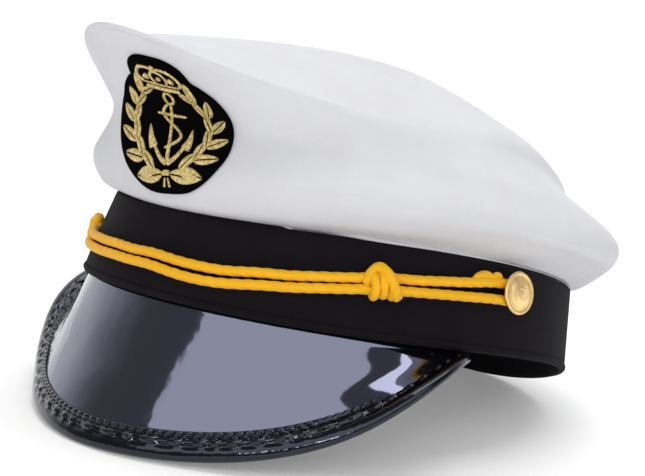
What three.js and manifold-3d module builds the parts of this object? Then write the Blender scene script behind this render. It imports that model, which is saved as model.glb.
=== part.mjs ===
// A yachting cap: white cloth crown, black band, glossy peak with a bound edge, gold cord, buttons and badge.
// Millimetres, +Z up, the front faces -Y and the wearer's left is +X. It rests on its peak and on the band's rear.
import * as THREE from "three";
import { mergeVertices } from "three/addons/utils/BufferGeometryUtils.js";
import Module from "manifold-3d";

const wasm = await Module();
wasm.setup();

// Driving sizes
const clearance = 0.3; // kept between pieces that touch in the real cap
const settle = 0.4; // how far the band and the binding are flattened where they rest
const band = { halfWidth: 91, halfLength: 99, height: 32.5, wall: 2, drawIn: 5.1 }; // drawIn: narrower at its top
const crown = {
  wall: 1.8,
  height: 52.4, // front rim above the band
  lean: 30.5, // front rim beyond the band
  roll: 12, // how far the soft lower roll stands out
  rollHeight: 11.9,
  crest: 8, // rounding above the rim
  top: 86.6, // middle of the top above the band's mid height
  topForward: 4, // middle of the top in front of the band's centre
  twist: -11, // degrees that the high point sits towards the wearer's right
  fall: 1.45, // power of the slope from the middle to the rim
};
const peak = { wall: 1.5, length: 50.3, halfSpan: 73.85, tuck: 7, drop: 1.8, fan: 0.55 }; // halfSpan in degrees
const binding = { wall: 1, width: 8.5, taper: 0.55 }; // taper: its most width, as a share of the peak's reach
const cord = { diameter: 3.3, sides: 8 };
const knot = { length: 9.4, height: 9.8, depth: 7.2, angle: 51 };
const button = { diameter: 14.8, rim: 1.4, dome: 1.7, shank: 2, angle: 81.6 };
const badge = { width: 50, height: 47, thickness: 1.8, rise: 27 }; // rise: its middle above the band's top edge

// Rise of the band's edges round the head, as shares of the band's height, by waves round the cap
const bandWaves = [
  { waves: 1, bottom: 0, top: -0.091 },
  { waves: 2, bottom: -0.166, top: -0.108 },
  { waves: 3, bottom: 0.04, top: -0.01 },
];

// Crown sections at equal angles from front to rear, as shares: under, rollOut and waistOut of roll, rimOut of
// lean, rimUp of height, crestUp of crest
const crownSections = [
  { under: 0.02, rollOut: 0.56, waistOut: 0.86, rimOut: 1.0, rimUp: 1.0, crestUp: 0.08 },
  { under: 0.02, rollOut: 1.01, waistOut: 0.69, rimOut: 0.58, rimUp: 0.82, crestUp: 0.33 },
  { under: 0.15, rollOut: 1.27, waistOut: 0.7, rimOut: 0.2, rimUp: 0.68, crestUp: 0.64 },
  { under: 0.36, rollOut: 1.3, waistOut: 0.75, rimOut: -0.1, rimUp: 0.66, crestUp: 1.07 },
  { under: 0.44, rollOut: 1.17, waistOut: 0.91, rimOut: -0.23, rimUp: 0.6, crestUp: 0.92 },
  { under: 0.09, rollOut: 0.97, waistOut: 0.82, rimOut: -0.25, rimUp: 0.6, crestUp: 0.91 },
  { under: 0.02, rollOut: 0.95, waistOut: 0.8, rimOut: -0.25, rimUp: 0.6, crestUp: 0.89 },
];
const underShare = 0.55; // where the under side lies, as a share of the roll's reach
const waistShare = 0.68; // height of the waist as a share of the rim's
const crestRing = 0.93; // ring of the crest, as a share of the way from the top's middle to the rim
const topRings = [0.72, 0.45, 0.2, 0];

// The peak's outline, and its slope below level in degrees by powers of the way from its middle to its ends
const peakShape = { roundness: 1.7, fullness: 0.51 };
const peakSlope = { middle: 75.6, square: 30.5, fourth: -106.6 };

// The cord between the buttons: height of its middle and half the gap of its strands, as shares of the band's height
const cordRoute = [
  { along: -1, middle: 0.64, spread: 0.092 },
  { along: -0.8, middle: 0.53, spread: 0.07 },
  { along: -0.625, middle: 0.4, spread: 0.06 },
  { along: -0.3, middle: 0.375, spread: 0.064 },
  { along: 0, middle: 0.388, spread: 0.066 },
  { along: 0.18, middle: 0.354, spread: 0.073 },
  { along: 0.36, middle: 0.42, spread: 0.064 },
  { along: 0.625, middle: 0.556, spread: 0.06 },
  { along: 0.8, middle: 0.62, spread: 0.07 },
  { along: 1, middle: 0.687, spread: 0.092 },
];

// The badge's outline from its top down its left half, as shares of half its width and half its height
const badgeOutline = [
  { across: 0, up: 1.0 },
  { across: 0.22, up: 1.0 },
  { across: 0.42, up: 0.92 },
  { across: 0.5, up: 0.78 },
  { across: 0.6, up: 0.7 },
  { across: 0.82, up: 0.56 },
  { across: 0.97, up: 0.3 },
  { across: 1.0, up: -0.05 },
  { across: 0.94, up: -0.42 },
  { across: 0.74, up: -0.76 },
  { across: 0.42, up: -0.96 },
  { across: 0, up: -1.0 },
];

// Facets
const crownStations = 64;
const crownRows = 19;
const bandStations = 96;
const peakStations = 24; // on each half
const peakRows = 4;
const peakGather = 0.86; // how far the gathering of the peak's stations goes towards its ends
const cordSteps = 30; // along each strand
const loopSteps = 5; // round each button's shank
const badgeSpokes = 48;
const badgeRings = 6;

const up = new THREE.Vector3(0, 0, 1);
const radians = THREE.MathUtils.degToRad;

// Smooth curve through four neighbouring values at equal steps, between the middle two
function blend(share, before, from, to, after) {
  const bend = 2 * before - 5 * from + 4 * to - after;
  const twist = 3 * (from - to) + after - before;
  return from + 0.5 * share * (to - before + share * (bend + share * twist));
}

// A column of the crown's sections at an angle from the high point of its front
function crownValue(column, angle) {
  const last = crownSections.length - 1;
  const turned = angle - radians(crown.twist);
  const place = (Math.abs(Math.atan2(Math.sin(turned), Math.cos(turned))) / Math.PI) * last;
  const row = Math.min(Math.floor(place), last - 1);
  const mirrored = (i) => last - Math.abs(last - Math.abs(i));
  const values = [row - 1, row, row + 1, row + 2].map((i) => crownSections[mirrored(i)][column]);
  return blend(place - row, ...values);
}

// Point of the band's outer face: angle from the front towards the wearer's left, share of its height
function bandPoint(angle, share) {
  const lift = (edge) => bandWaves.reduce((sum, w) => sum + w[edge] * Math.cos(w.waves * angle), 0);
  const rise = share - 0.5 + (1 - share) * lift("bottom") + share * lift("top");
  return new THREE.Vector3(
    (band.halfWidth - band.drawIn * share) * Math.sin(angle),
    -(band.halfLength - band.drawIn * share) * Math.cos(angle),
    band.height * rise,
  );
}

// Level direction out of the band
function outward(angle) {
  return new THREE.Vector3(Math.sin(angle) * band.halfLength, -Math.cos(angle) * band.halfWidth, 0).normalize();
}

// Direction square to the band's outer face
function bandNormal(angle) {
  const slope = bandPoint(angle, 1).sub(bandPoint(angle, 0));
  const round = new THREE.Vector3().crossVectors(up, outward(angle));
  return new THREE.Vector3().crossVectors(round, slope).normalize();
}

// Outer line of the crown at one angle: seam on the band, under side, roll, waist, rim, crest and top
const crownLines = new Map();
function crownLine(angle) {
  if (crownLines.has(angle)) return crownLines.get(angle);
  const value = (column) => crownValue(column, angle);
  const out = outward(angle);
  const from = (across, rise) => bandPoint(angle, 1).addScaledVector(out, across).addScaledVector(up, rise);
  const rim = from(crown.lean * value("rimOut"), crown.height * value("rimUp"));
  const middle = new THREE.Vector3(0, -crown.topForward, crown.top);
  const crestZ = rim.z + crown.crest * value("crestUp");
  const ring = (share) => {
    const point = middle.clone().lerp(rim, share);
    point.z = crown.top + (crestZ - crown.top) * (share / crestRing) ** crown.fall;
    return point;
  };
  const points = [
    from(-band.wall, clearance),
    from(0, 2 * clearance),
    from(crown.roll * value("rollOut") * underShare, crown.roll * value("under") + clearance),
    from(crown.roll * value("rollOut"), crown.rollHeight),
    from(crown.roll * value("waistOut"), crown.height * value("rimUp") * waistShare),
    rim,
    ring(crestRing),
    ...topRings.map(ring),
  ];
  const line = new THREE.CatmullRomCurve3(points, false, "catmullrom");
  crownLines.set(angle, line);
  return line;
}

// Point of the crown's outer face, moved out along its normal; share runs from the band to the top's middle
function crownPoint(angle, share, lift = 0) {
  const point = crownLine(angle).getPoint(share);
  if (lift === 0) return point;
  const step = 0.012;
  const along = crownLine(angle).getPoint(Math.min(share + step, 1));
  along.sub(crownLine(angle).getPoint(Math.max(share - step, 0)));
  const turn = (2 * Math.PI) / crownStations;
  const round = crownLine(angle + turn).getPoint(share).sub(crownLine(angle - turn).getPoint(share));
  const normal = share === 1 ? up.clone() : round.cross(along).normalize();
  return point.addScaledVector(normal, lift);
}

// Where the peak leaves the band's inside, and the way and reach of its face from there to its outer edge
function peakRay(along) {
  const angle = along * radians(peak.halfSpan);
  const inside = band.wall + clearance;
  const root = bandPoint(angle, 0).addScaledVector(outward(angle), -inside).addScaledVector(up, -peak.drop);
  const slope = radians(peakSlope.middle + peakSlope.square * along ** 2 + peakSlope.fourth * along ** 4);
  const reach = peak.length * (1 - Math.abs(along) ** peakShape.roundness) ** peakShape.fullness;
  const way = new THREE.Vector3(Math.sin(peak.fan * angle), -Math.cos(peak.fan * angle), 0);
  way.multiplyScalar(Math.cos(slope)).addScaledVector(up, -Math.sin(slope));
  return { angle, root, way, reach };
}

// Point of the peak's outer face, moved out along its normal: along from -1 to 1, share from the band to the edge
function peakPoint(along, share, lift = 0) {
  const { root, way, reach } = peakRay(along);
  root.addScaledVector(way, reach * share);
  return lift === 0 ? root : root.addScaledVector(peakNormal(along, share), lift);
}

// Direction out of the peak's face
function peakNormal(along, share) {
  const step = 0.01;
  const [low, high] = [Math.max(along - step, step - 1), Math.min(along + step, 1 - step)];
  const round = peakPoint(high, share).sub(peakPoint(low, share));
  return peakRay((high + low) / 2).way.cross(round).normalize();
}

// Joins closed loops of points into one closed skin. Where it doesn't wrap, ladders of faces close its two ends.
function skin(loops, wraps) {
  const positions = [];
  const face = (a, b, c) => {
    if (a.equals(b) || b.equals(c) || c.equals(a)) return;
    for (const p of [a, b, c]) positions.push(p.x, p.y, p.z);
  };
  const quad = (a, b, c, d) => {
    face(a, b, c);
    face(a, c, d);
  };
  const count = loops[0].length;
  const spans = wraps ? loops.length : loops.length - 1;
  for (let i = 0; i < spans; i++) {
    const here = loops[i];
    const next = loops[(i + 1) % loops.length];
    for (let k = 0; k < count; k++) quad(here[k], next[k], next[(k + 1) % count], here[(k + 1) % count]);
  }
  if (!wraps) {
    const first = loops[0];
    const last = loops[loops.length - 1];
    for (let k = 0; k < count / 2 - 1; k++) {
      quad(first[k], first[k + 1], first[count - 2 - k], first[count - 1 - k]);
      quad(last[count - 1 - k], last[count - 2 - k], last[k + 1], last[k]);
    }
  }
  const geometry = new THREE.BufferGeometry();
  geometry.setAttribute("position", new THREE.Float32BufferAttribute(positions, 3));
  return facingOut(mergeVertices(geometry, 1e-5));
}

// Turns the faces round where they point inwards
function facingOut(geometry) {
  const { array } = geometry.getAttribute("position");
  const index = geometry.index.array;
  const corner = (i) => new THREE.Vector3().fromArray(array, index[i] * 3);
  let volume = 0;
  for (let i = 0; i < index.length; i += 3) volume += corner(i).dot(corner(i + 1).cross(corner(i + 2)));
  if (volume < 0) for (let i = 0; i < index.length; i += 3) [index[i], index[i + 1]] = [index[i + 1], index[i]];
  return geometry;
}

function spread(from, to, steps) {
  return Array.from({ length: steps + 1 }, (_, i) => from + ((to - from) * i) / steps);
}

function round(steps) {
  return spread(-Math.PI, Math.PI, steps).slice(1);
}

function bandSkin() {
  const loop = (angle) => {
    const inwards = bandNormal(angle).multiplyScalar(-band.wall);
    const outer = [bandPoint(angle, 0), bandPoint(angle, 1)];
    return [...outer, ...outer.map((p) => p.clone().add(inwards).setZ(p.z)).reverse()];
  };
  return skin(round(bandStations).map(loop), true);
}

function crownSkin(grow = 0) {
  const shares = spread(0, 1, crownRows);
  const loop = (angle) => [
    ...shares.map((share) => crownPoint(angle, share, grow)),
    ...shares.map((share) => crownPoint(angle, share, -crown.wall)).reverse(),
  ];
  const loops = round(crownStations).map(loop);
  for (const pole of [crownRows, crownRows + 1]) for (const each of loops) each[pole].copy(loops[0][pole]);
  return skin(loops, true);
}

// Places along the peak, closer together towards its ends
function peakPlaces() {
  const half = spread(0, peakGather, peakStations).map((share) => 1 - (1 - share) ** 3);
  return [...half.slice(1).map((share) => -share).reverse(), ...half];
}

function peakSkin(grow = 0) {
  const loop = (along) => {
    const { angle, reach } = peakRay(along);
    const shares = spread(0, 1 + grow / reach, peakRows);
    const back = outward(angle).multiplyScalar(-peak.wall);
    const slope = bandPoint(angle, 1).sub(bandPoint(angle, 0)).setLength(peak.tuck);
    const tucked = peakPoint(along, 0).add(slope);
    const outer = [tucked, ...shares.map((share) => peakPoint(along, share, share > 0 ? grow : 0))];
    const inner = shares.slice(1).map((share) => peakPoint(along, share, -peak.wall - grow));
    const corner = peakPoint(along, 0).add(back);
    return [...outer, ...[tucked.clone().add(back), corner, ...inner].reverse()];
  };
  return skin(peakPlaces().map(loop), false);
}

// The folded strip over the peak's outer edge: a bar square to that edge, less the sheet that it holds
function bindingGeometry() {
  const step = 0.004;
  const loop = (along) => {
    const high = peakPoint(Math.min(along + step, 1), 1);
    const { root, reach } = peakRay(along);
    const edge = peakPoint(along, 1);
    const way = high.sub(peakPoint(Math.max(along - step, -1), 1)).normalize();
    const normal = peakNormal(along, 1);
    const inwards = new THREE.Vector3().crossVectors(normal, way).normalize();
    if (inwards.dot(root.clone().sub(edge)) < 0) inwards.negate();
    const width = Math.min(binding.width, reach * binding.taper);
    const place = (across, lift) => edge.clone().addScaledVector(inwards, across).addScaledVector(normal, lift);
    const fold = clearance + binding.wall;
    const low = -peak.wall - fold;
    return [place(width, fold), place(0, fold), place(-fold, 0), place(-fold, low + fold), place(0, low), place(width, low)];
  };
  return toGeometry(toSolid(skin(peakPlaces().map(loop), false)).subtract(toSolid(peakSkin(clearance))));
}

// The cord's middle line: front strands and a turn round each button's shank, as one closed loop
function cordLine() {
  const reach = radians(button.angle);
  const lift = cord.diameter / 2 + clearance;
  const turnRadius = (button.shank + cord.diameter) / 2 + clearance;
  const routeValue = (column, along) => {
    const row = Math.max(0, cordRoute.findLastIndex((r, i) => r.along <= along && i < cordRoute.length - 1));
    const at = (i) => cordRoute[Math.min(Math.max(i, 0), cordRoute.length - 1)][column];
    const share = (along - cordRoute[row].along) / (cordRoute[row + 1].along - cordRoute[row].along);
    return blend(share, at(row - 1), at(row), at(row + 1), at(row + 2));
  };
  const place = (along, side) => {
    const share = routeValue("middle", along) + side * routeValue("spread", along);
    const angle = along * reach;
    return bandPoint(angle, share).addScaledVector(bandNormal(angle), lift);
  };
  const turn = (end, sense) => {
    const angle = end * reach;
    const normal = bandNormal(angle);
    const across = new THREE.Vector3().crossVectors(up, normal).normalize().multiplyScalar(end);
    const rise = new THREE.Vector3().crossVectors(normal, across).normalize().multiplyScalar(end);
    const middle = bandPoint(angle, routeValue("middle", end)).addScaledVector(normal, lift);
    return spread(Math.PI / 2, -Math.PI / 2, loopSteps).map((bend) =>
      middle
        .clone()
        .addScaledVector(across, turnRadius * Math.cos(bend))
        .addScaledVector(rise, sense * turnRadius * Math.sin(bend)),
    );
  };
  const stop = 1 - (turnRadius * 2) / (band.halfWidth * reach);
  const strand = spread(-stop, stop, cordSteps);
  const points = [
    ...strand.map((along) => place(along, 1)),
    ...turn(1, 1),
    ...strand.map((along) => place(along, -1)).reverse(),
    ...turn(-1, -1),
  ];
  return { points, place, middle: (along) => place(along, 0) };
}

function tubeSkin(points, radius) {
  const loops = points.map((point, i) => {
    const before = points[(i + points.length - 1) % points.length];
    const way = points[(i + 1) % points.length].clone().sub(before).normalize();
    const out = new THREE.Vector3(point.x, point.y, 0).normalize();
    const side = new THREE.Vector3().crossVectors(way, out).normalize();
    out.crossVectors(side, way);
    return round(cord.sides).map((turn) =>
      point
        .clone()
        .addScaledVector(out, radius * Math.cos(turn))
        .addScaledVector(side, radius * Math.sin(turn)),
    );
  });
  return skin(loops, true);
}

function toSolid(geometry) {
  const plain = new THREE.BufferGeometry().setAttribute("position", geometry.getAttribute("position"));
  plain.setIndex(geometry.index);
  const merged = mergeVertices(plain, 1e-4);
  const vertProperties = new Float32Array(merged.getAttribute("position").array);
  return new wasm.Manifold(new wasm.Mesh({ numProp: 3, vertProperties, triVerts: new Uint32Array(merged.index.array) }));
}

function toGeometry(solid) {
  const mesh = solid.getMesh();
  const geometry = new THREE.BufferGeometry();
  geometry.setAttribute("position", new THREE.BufferAttribute(mesh.vertProperties, mesh.numProp));
  geometry.setIndex(new THREE.BufferAttribute(mesh.triVerts, 1));
  return geometry;
}

// The largest body of a solid, without the crumbs that a cut leaves
function mainBody(solid) {
  return solid.decompose().reduce((most, body) => (body.volume() > most.volume() ? body : most));
}

// A barrel wrapped round both strands, with a tunnel for each
function knotGeometry(side, line, bores) {
  const along = (side * knot.angle) / button.angle;
  const angle = along * radians(button.angle);
  const half = knot.length / 2;
  const profile = [
    [0, -half],
    [0.82, -half],
    [0.97, -half * 0.6],
    [1, 0],
    [0.97, half * 0.6],
    [0.82, half],
    [0, half],
  ].map(([out, y]) => new THREE.Vector2((out * knot.height) / 2, y));
  const barrel = new THREE.LatheGeometry(profile, 16);
  barrel.deleteAttribute("uv");
  barrel.deleteAttribute("normal");
  barrel.scale(1, 1, knot.depth / knot.height);
  const normal = bandNormal(angle);
  const way = line.middle(along + 0.02).sub(line.middle(along - 0.02)).normalize();
  const rise = new THREE.Vector3().crossVectors(way, normal).normalize();
  const middle = line.middle(along).addScaledVector(normal, knot.depth / 2 - cord.diameter / 2);
  const place = new THREE.Matrix4().makeBasis(rise, way, new THREE.Vector3().crossVectors(rise, way));
  place.setPosition(middle);
  barrel.applyMatrix4(place);
  return toGeometry(toSolid(facingOut(mergeVertices(barrel, 1e-4))).subtract(bores));
}

function buttonGeometry() {
  const radius = button.diameter / 2;
  const back = cord.diameter + 2 * clearance;
  const profile = [
    [0, clearance],
    [button.shank / 2, clearance],
    [button.shank / 2, back],
    [radius - button.rim / 2, back],
    [radius, back + button.rim / 2],
    [radius - button.rim / 2, back + button.rim],
    [radius - button.rim * 1.4, back + button.rim * 0.8],
    [radius * 0.6, back + button.rim * 0.8 + button.dome * 0.55],
    [radius * 0.3, back + button.rim * 0.8 + button.dome * 0.9],
    [0, back + button.rim * 0.8 + button.dome],
  ].map(([out, y]) => new THREE.Vector2(out, y));
  const geometry = new THREE.LatheGeometry(profile, 24);
  geometry.deleteAttribute("uv");
  geometry.deleteAttribute("normal");
  geometry.rotateX(Math.PI / 2);
  return facingOut(mergeVertices(geometry, 1e-4));
}

// Where a button's shank stands: its +Z leaves the band
function buttonPlace(side) {
  const angle = side * radians(button.angle);
  const normal = bandNormal(angle);
  const across = new THREE.Vector3().crossVectors(up, normal).normalize();
  const share = cordRoute[side > 0 ? cordRoute.length - 1 : 0].middle;
  const place = new THREE.Matrix4().makeBasis(across, new THREE.Vector3().crossVectors(normal, across), normal);
  return place.setPosition(bandPoint(angle, share));
}

// The patch lies on the crown's front, so its points are found by height along the front's line
function badgeGeometry() {
  const base = bandPoint(0, 1).z;
  const samples = spread(0.1, 0.6, 100).map((share) => ({ share, point: crownPoint(0, share) }));
  const middle = samples.findIndex((s) => s.point.z > base + badge.rise);
  const rises = samples.map(() => 0);
  for (let i = middle + 1; i < samples.length; i++)
    rises[i] = rises[i - 1] + samples[i].point.distanceTo(samples[i - 1].point);
  for (let i = middle - 1; i >= 0; i--) rises[i] = rises[i + 1] - samples[i].point.distanceTo(samples[i + 1].point);
  const place = (across, rise, lift) => {
    const i = Math.min(Math.max(rises.findIndex((r) => r > rise), 1), samples.length - 1);
    const part = (rise - rises[i - 1]) / (rises[i] - rises[i - 1]);
    const share = samples[i - 1].share + part * (samples[i].share - samples[i - 1].share);
    const angle = across / Math.abs(crownPoint(0, share).y);
    return crownPoint(angle, share, lift);
  };
  const half = badgeOutline.map((p) => new THREE.Vector3(p.across, p.up, 0));
  const mirrored = half.slice(1, -1).reverse().map((p) => new THREE.Vector3(-p.x, p.y, 0));
  const outline = new THREE.CatmullRomCurve3([...half, ...mirrored], true, "catmullrom");
  const loops = outline.getSpacedPoints(badgeSpokes).slice(1).map((edge) => {
    const at = (share, lift) => place((edge.x * share * badge.width) / 2, (edge.y * share * badge.height) / 2, lift);
    const shares = spread(0, 1, badgeRings);
    const front = shares.map((share) => at(share, clearance + badge.thickness));
    return [...front, ...shares.map((share) => at(share, -badge.thickness / 2)).reverse()];
  });
  const last = loops[0].length - 1;
  for (const pole of [0, last]) for (const each of loops) each[pole].copy(loops[0][pole]);
  return toGeometry(mainBody(toSolid(skin(loops, true)).subtract(toSolid(crownSkin(clearance)))));
}

// The cap tips back until the peak's edge and the band's rear touch the same level
function restMatrix(geometries) {
  const points = geometries.flatMap((geometry) => {
    const { array } = geometry.getAttribute("position");
    return Array.from({ length: array.length / 3 }, (_, i) => new THREE.Vector3().fromArray(array, i * 3));
  });
  const lowest = (list, tip) => Math.min(...list.map((p) => p.z * Math.cos(tip) - p.y * Math.sin(tip)));
  const front = points.filter((p) => p.y < 0);
  const rear = points.filter((p) => p.y > 0);
  let [low, high] = [0, Math.PI / 4];
  for (let i = 0; i < 40; i++) {
    const tip = (low + high) / 2;
    if (lowest(front, tip) < lowest(rear, tip)) low = tip;
    else high = tip;
  }
  const drop = -lowest(points, low) - settle;
  return new THREE.Matrix4().makeTranslation(0, 0, drop).multiply(new THREE.Matrix4().makeRotationX(-low));
}

// Flattens a piece where it rests, by cutting away what lies under z = 0
function flattened(geometry) {
  const size = 3 * (band.halfLength + peak.length);
  const under = new THREE.BoxGeometry(size, size, size).translate(0, 0, -size / 2);
  under.deleteAttribute("uv");
  under.deleteAttribute("normal");
  return toGeometry(toSolid(geometry).subtract(toSolid(under)));
}

const cloth = (color) => new THREE.MeshStandardMaterial({ color, roughness: 0.9, metalness: 0 });
const materials = {
  whiteCloth: cloth("#f2f2f4"),
  blackCloth: cloth("#1d1a1e"),
  blackVinyl: new THREE.MeshStandardMaterial({ color: "#17181d", roughness: 0.08, metalness: 0 }),
  vinylEdge: new THREE.MeshStandardMaterial({ color: "#0c0c0f", roughness: 0.15, metalness: 0 }),
  goldCord: cloth("#f5b416"),
  gilt: new THREE.MeshStandardMaterial({ color: "#d9b066", roughness: 0.3, metalness: 1 }),
  blackFelt: cloth("#08080a"),
};

const line = cordLine();
const bandShape = bandSkin();
const bindingShape = bindingGeometry();
const rest = restMatrix([bandShape, bindingShape]);
const bores = toSolid(tubeSkin(line.points, cord.diameter / 2 + clearance));

const cap = new THREE.Group();
function addPiece(name, geometry, material, place = rest) {
  const piece = new THREE.Mesh(geometry.applyMatrix4(place), material);
  piece.name = name;
  cap.add(piece);
  return piece;
}

addPiece("crown", crownSkin(), materials.whiteCloth);
addPiece("peak", peakSkin(), materials.blackVinyl);
for (const [name, shape, material] of [
  ["band", bandShape, materials.blackCloth],
  ["peak_binding", bindingShape, materials.vinylEdge],
]) {
  const piece = addPiece(name, shape, material);
  piece.geometry = flattened(piece.geometry);
}
addPiece("cord", tubeSkin(line.points, cord.diameter / 2), materials.goldCord);
for (const [name, side] of [["left", 1], ["right", -1]]) {
  addPiece("knot_" + name, knotGeometry(side, line, bores), materials.goldCord);
  addPiece("button_" + name, buttonGeometry(), materials.gilt, rest.clone().multiply(buttonPlace(side)));
}
addPiece("badge", badgeGeometry(), materials.blackFelt);

// The origin is the middle of what the cap stands over
const middle = new THREE.Box3().setFromObject(cap).getCenter(new THREE.Vector3());
for (const piece of cap.children) piece.geometry.translate(-middle.x, -middle.y, 0);

export default cap;
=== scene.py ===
"""A white-topped yachting cap: black band, glossy bound peak, gold cord, gilt buttons and a sewn badge.

Every shape is worked out in the hat's own frame, in millimetres: the origin is the middle of the band at mid
height, the front faces -Y, the wearer's left is +X and +Z is up. RestPose then lays the cap down in metres,
on its peak and on the rear of its band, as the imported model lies.
"""

import logging
import math
from dataclasses import dataclass, field
from enum import Enum

import bmesh
import bpy
import numpy as np
from mathutils import Matrix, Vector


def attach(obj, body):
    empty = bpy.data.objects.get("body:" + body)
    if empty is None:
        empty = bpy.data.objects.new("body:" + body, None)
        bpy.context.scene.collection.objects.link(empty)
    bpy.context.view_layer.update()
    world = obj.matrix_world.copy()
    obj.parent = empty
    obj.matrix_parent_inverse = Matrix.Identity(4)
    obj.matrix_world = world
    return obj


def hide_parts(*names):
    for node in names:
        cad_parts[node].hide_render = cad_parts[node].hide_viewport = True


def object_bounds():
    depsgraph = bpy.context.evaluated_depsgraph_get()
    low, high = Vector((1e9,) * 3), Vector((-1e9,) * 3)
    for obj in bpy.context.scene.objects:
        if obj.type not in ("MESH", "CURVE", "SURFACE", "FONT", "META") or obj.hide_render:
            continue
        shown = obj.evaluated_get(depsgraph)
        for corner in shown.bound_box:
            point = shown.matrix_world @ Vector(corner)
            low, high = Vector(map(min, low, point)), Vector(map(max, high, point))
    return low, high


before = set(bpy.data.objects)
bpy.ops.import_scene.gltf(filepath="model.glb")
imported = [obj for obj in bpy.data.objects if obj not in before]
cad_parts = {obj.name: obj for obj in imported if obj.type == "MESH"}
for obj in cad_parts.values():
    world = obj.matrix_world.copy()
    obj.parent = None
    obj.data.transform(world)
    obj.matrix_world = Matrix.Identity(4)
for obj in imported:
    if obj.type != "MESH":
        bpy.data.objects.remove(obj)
cad_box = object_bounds()

Array = np.ndarray
Range = tuple[float, float]
Triple = tuple[float, float, float]
Tree = bpy.types.NodeTree
Node = bpy.types.Node
Socket = bpy.types.NodeSocket
Piece = bpy.types.Object
MM = 0.001
TURN = 2 * math.pi
log = logging.getLogger("cap")


class Side(Enum):
    """The wearer's two sides, as the sign of X."""

    LEFT = 1
    RIGHT = -1


class Weave(Enum):
    """How a cloth's threads cross."""

    PLAIN = "plain"
    TWILL = "twill"


# Arithmetic on whole arrays


def unit(vectors: Array) -> Array:
    """Vectors, along the last axis of an array, scaled to length 1."""
    return vectors / np.maximum(np.linalg.norm(vectors, axis=-1, keepdims=True), 1e-12)


def vector(x: Array | float, y: Array | float, z: Array | float) -> Array:
    """Points from their three coordinates, which broadcast against each other."""
    return np.stack(np.broadcast_arrays(*(np.asarray(v, float) for v in (x, y, z))), axis=-1)


def column(values: Array) -> Array:
    """The same values with a last axis of 1, to multiply vectors by."""
    return np.asarray(values, float)[..., None]


def basis(share: Array) -> Array:
    """Weights of four neighbours on a Catmull-Rom curve: cubics in the share between the middle two."""
    s = np.asarray(share, float)
    return 0.5 * np.stack(
        [-s + 2 * s**2 - s**3, 2 - 5 * s**2 + 3 * s**3, s + 4 * s**2 - 3 * s**3, s**3 - s**2], axis=-1
    )


def catmull(points: Array, share: Array, closed: bool = False) -> Array:
    """Points of a smooth curve through points at equal steps: each is the weighted sum of its four
    neighbours, and past an open end the curve's last step is repeated.

    Args:
        points: first axis runs along the curve, last axis is X, Y, Z (or any row of values).
        share: shares of the way along the curve, broadcast against the points' middle axes.
        closed: whether the curve returns to its first point.

    Returns:
        Points of the broadcast shape.
    """
    count = len(points)
    if closed:
        more = np.concatenate([points[-1:], points, points[:2]])
        spans = count
    else:
        more = np.concatenate([2 * points[:1] - points[1:2], points, 2 * points[-1:] - points[-2:-1]])
        spans = count - 1
    place = np.asarray(share, float) * spans
    row = np.clip(np.floor(place), 0, spans - 1).astype(int)
    weights = np.zeros(row.shape + (len(more),))
    np.put_along_axis(weights, row[..., None] + np.arange(4), basis(place - row), axis=-1)
    return np.einsum("...k,k...i->...i", weights, more)


def even(points: Array, count: int, closed: bool = False) -> Array:
    """Points at equal lengths along a line.

    Args:
        points: the line's points, rows of X, Y, Z.
        count: how many points to make.
        closed: whether the line returns to its first point, which isn't repeated.

    Returns:
        An array of count rows.
    """
    line = np.concatenate([points, points[:1]]) if closed else points
    length = run(line)
    at = np.linspace(0, length[-1], count, endpoint=not closed)
    return np.stack([np.interp(at, length, line[:, i]) for i in range(line.shape[1])], axis=-1)


def run(points: Array) -> Array:
    """Length along a line up to each of its points."""
    return np.concatenate([[0.0], np.cumsum(np.linalg.norm(np.diff(points, axis=0), axis=1))])


def bump_at(x: Array, middle: float, width: float) -> Array:
    """A bell from 0 to 1: e to the power of minus the squared distance from its middle, in widths."""
    return np.exp(-(((x - middle) / width) ** 2))


def wrapped(angle: Array) -> Array:
    """The same angles between minus and plus half a turn."""
    return np.arctan2(np.sin(angle), np.cos(angle))


def sines(x: Array, terms: tuple[Triple, ...]) -> Array:
    """Waves added up: each a height by the sine of its pace times x plus its start."""
    return sum(height * np.sin(pace * x + start) for height, pace, start in terms)


def full_turn(count: int) -> Array:
    """Equal steps once round a circle, in radians."""
    return np.linspace(0, TURN, count, endpoint=False)


def flat_map(across: Array, up: Array) -> Array:
    """A grid's map, from its lengths along the rows and along the columns."""
    return np.stack(np.meshgrid(across, up, indexing="ij"), axis=-1)


def aim(azimuth_deg: float, elevation_deg: float) -> Array:
    """The way out from the cap, by azimuth from its front towards the wearer's left and by elevation."""
    turn, rise = math.radians(azimuth_deg), math.radians(elevation_deg)
    return np.array([math.sin(turn) * math.cos(rise), -math.cos(turn) * math.cos(rise), math.sin(rise)])


# Where the hat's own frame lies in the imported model


@dataclass(frozen=True)
class RestPose:
    """How the cap rests: tipped back until the peak's edge and the band's rear touch one level.

    Attributes:
        tip_deg: turn about X from the band's own frame.
        lift: height of the band's middle above the surface, in mm.
        middle_x, middle_y: middle of the whole box before it is moved to the origin, in mm.
    """

    tip_deg: float = 13.457
    lift: float = 44.954
    middle_x: float = -0.147
    middle_y: float = -6.643

    def matrix(self) -> Matrix:
        """The turn and move from the hat's frame, in mm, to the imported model's, in mm."""
        move = Matrix.Translation((-self.middle_x, -self.middle_y, self.lift))
        return move @ Matrix.Rotation(-math.radians(self.tip_deg), 4, "X")

    def place(self, points: Array) -> Array:
        """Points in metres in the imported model's frame, from points in mm in the hat's frame."""
        turn = np.array(self.matrix(), float)
        return (points @ turn[:3, :3].T + turn[:3, 3]) * MM


# The cap's form, which every sub-assembly is set on


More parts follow.
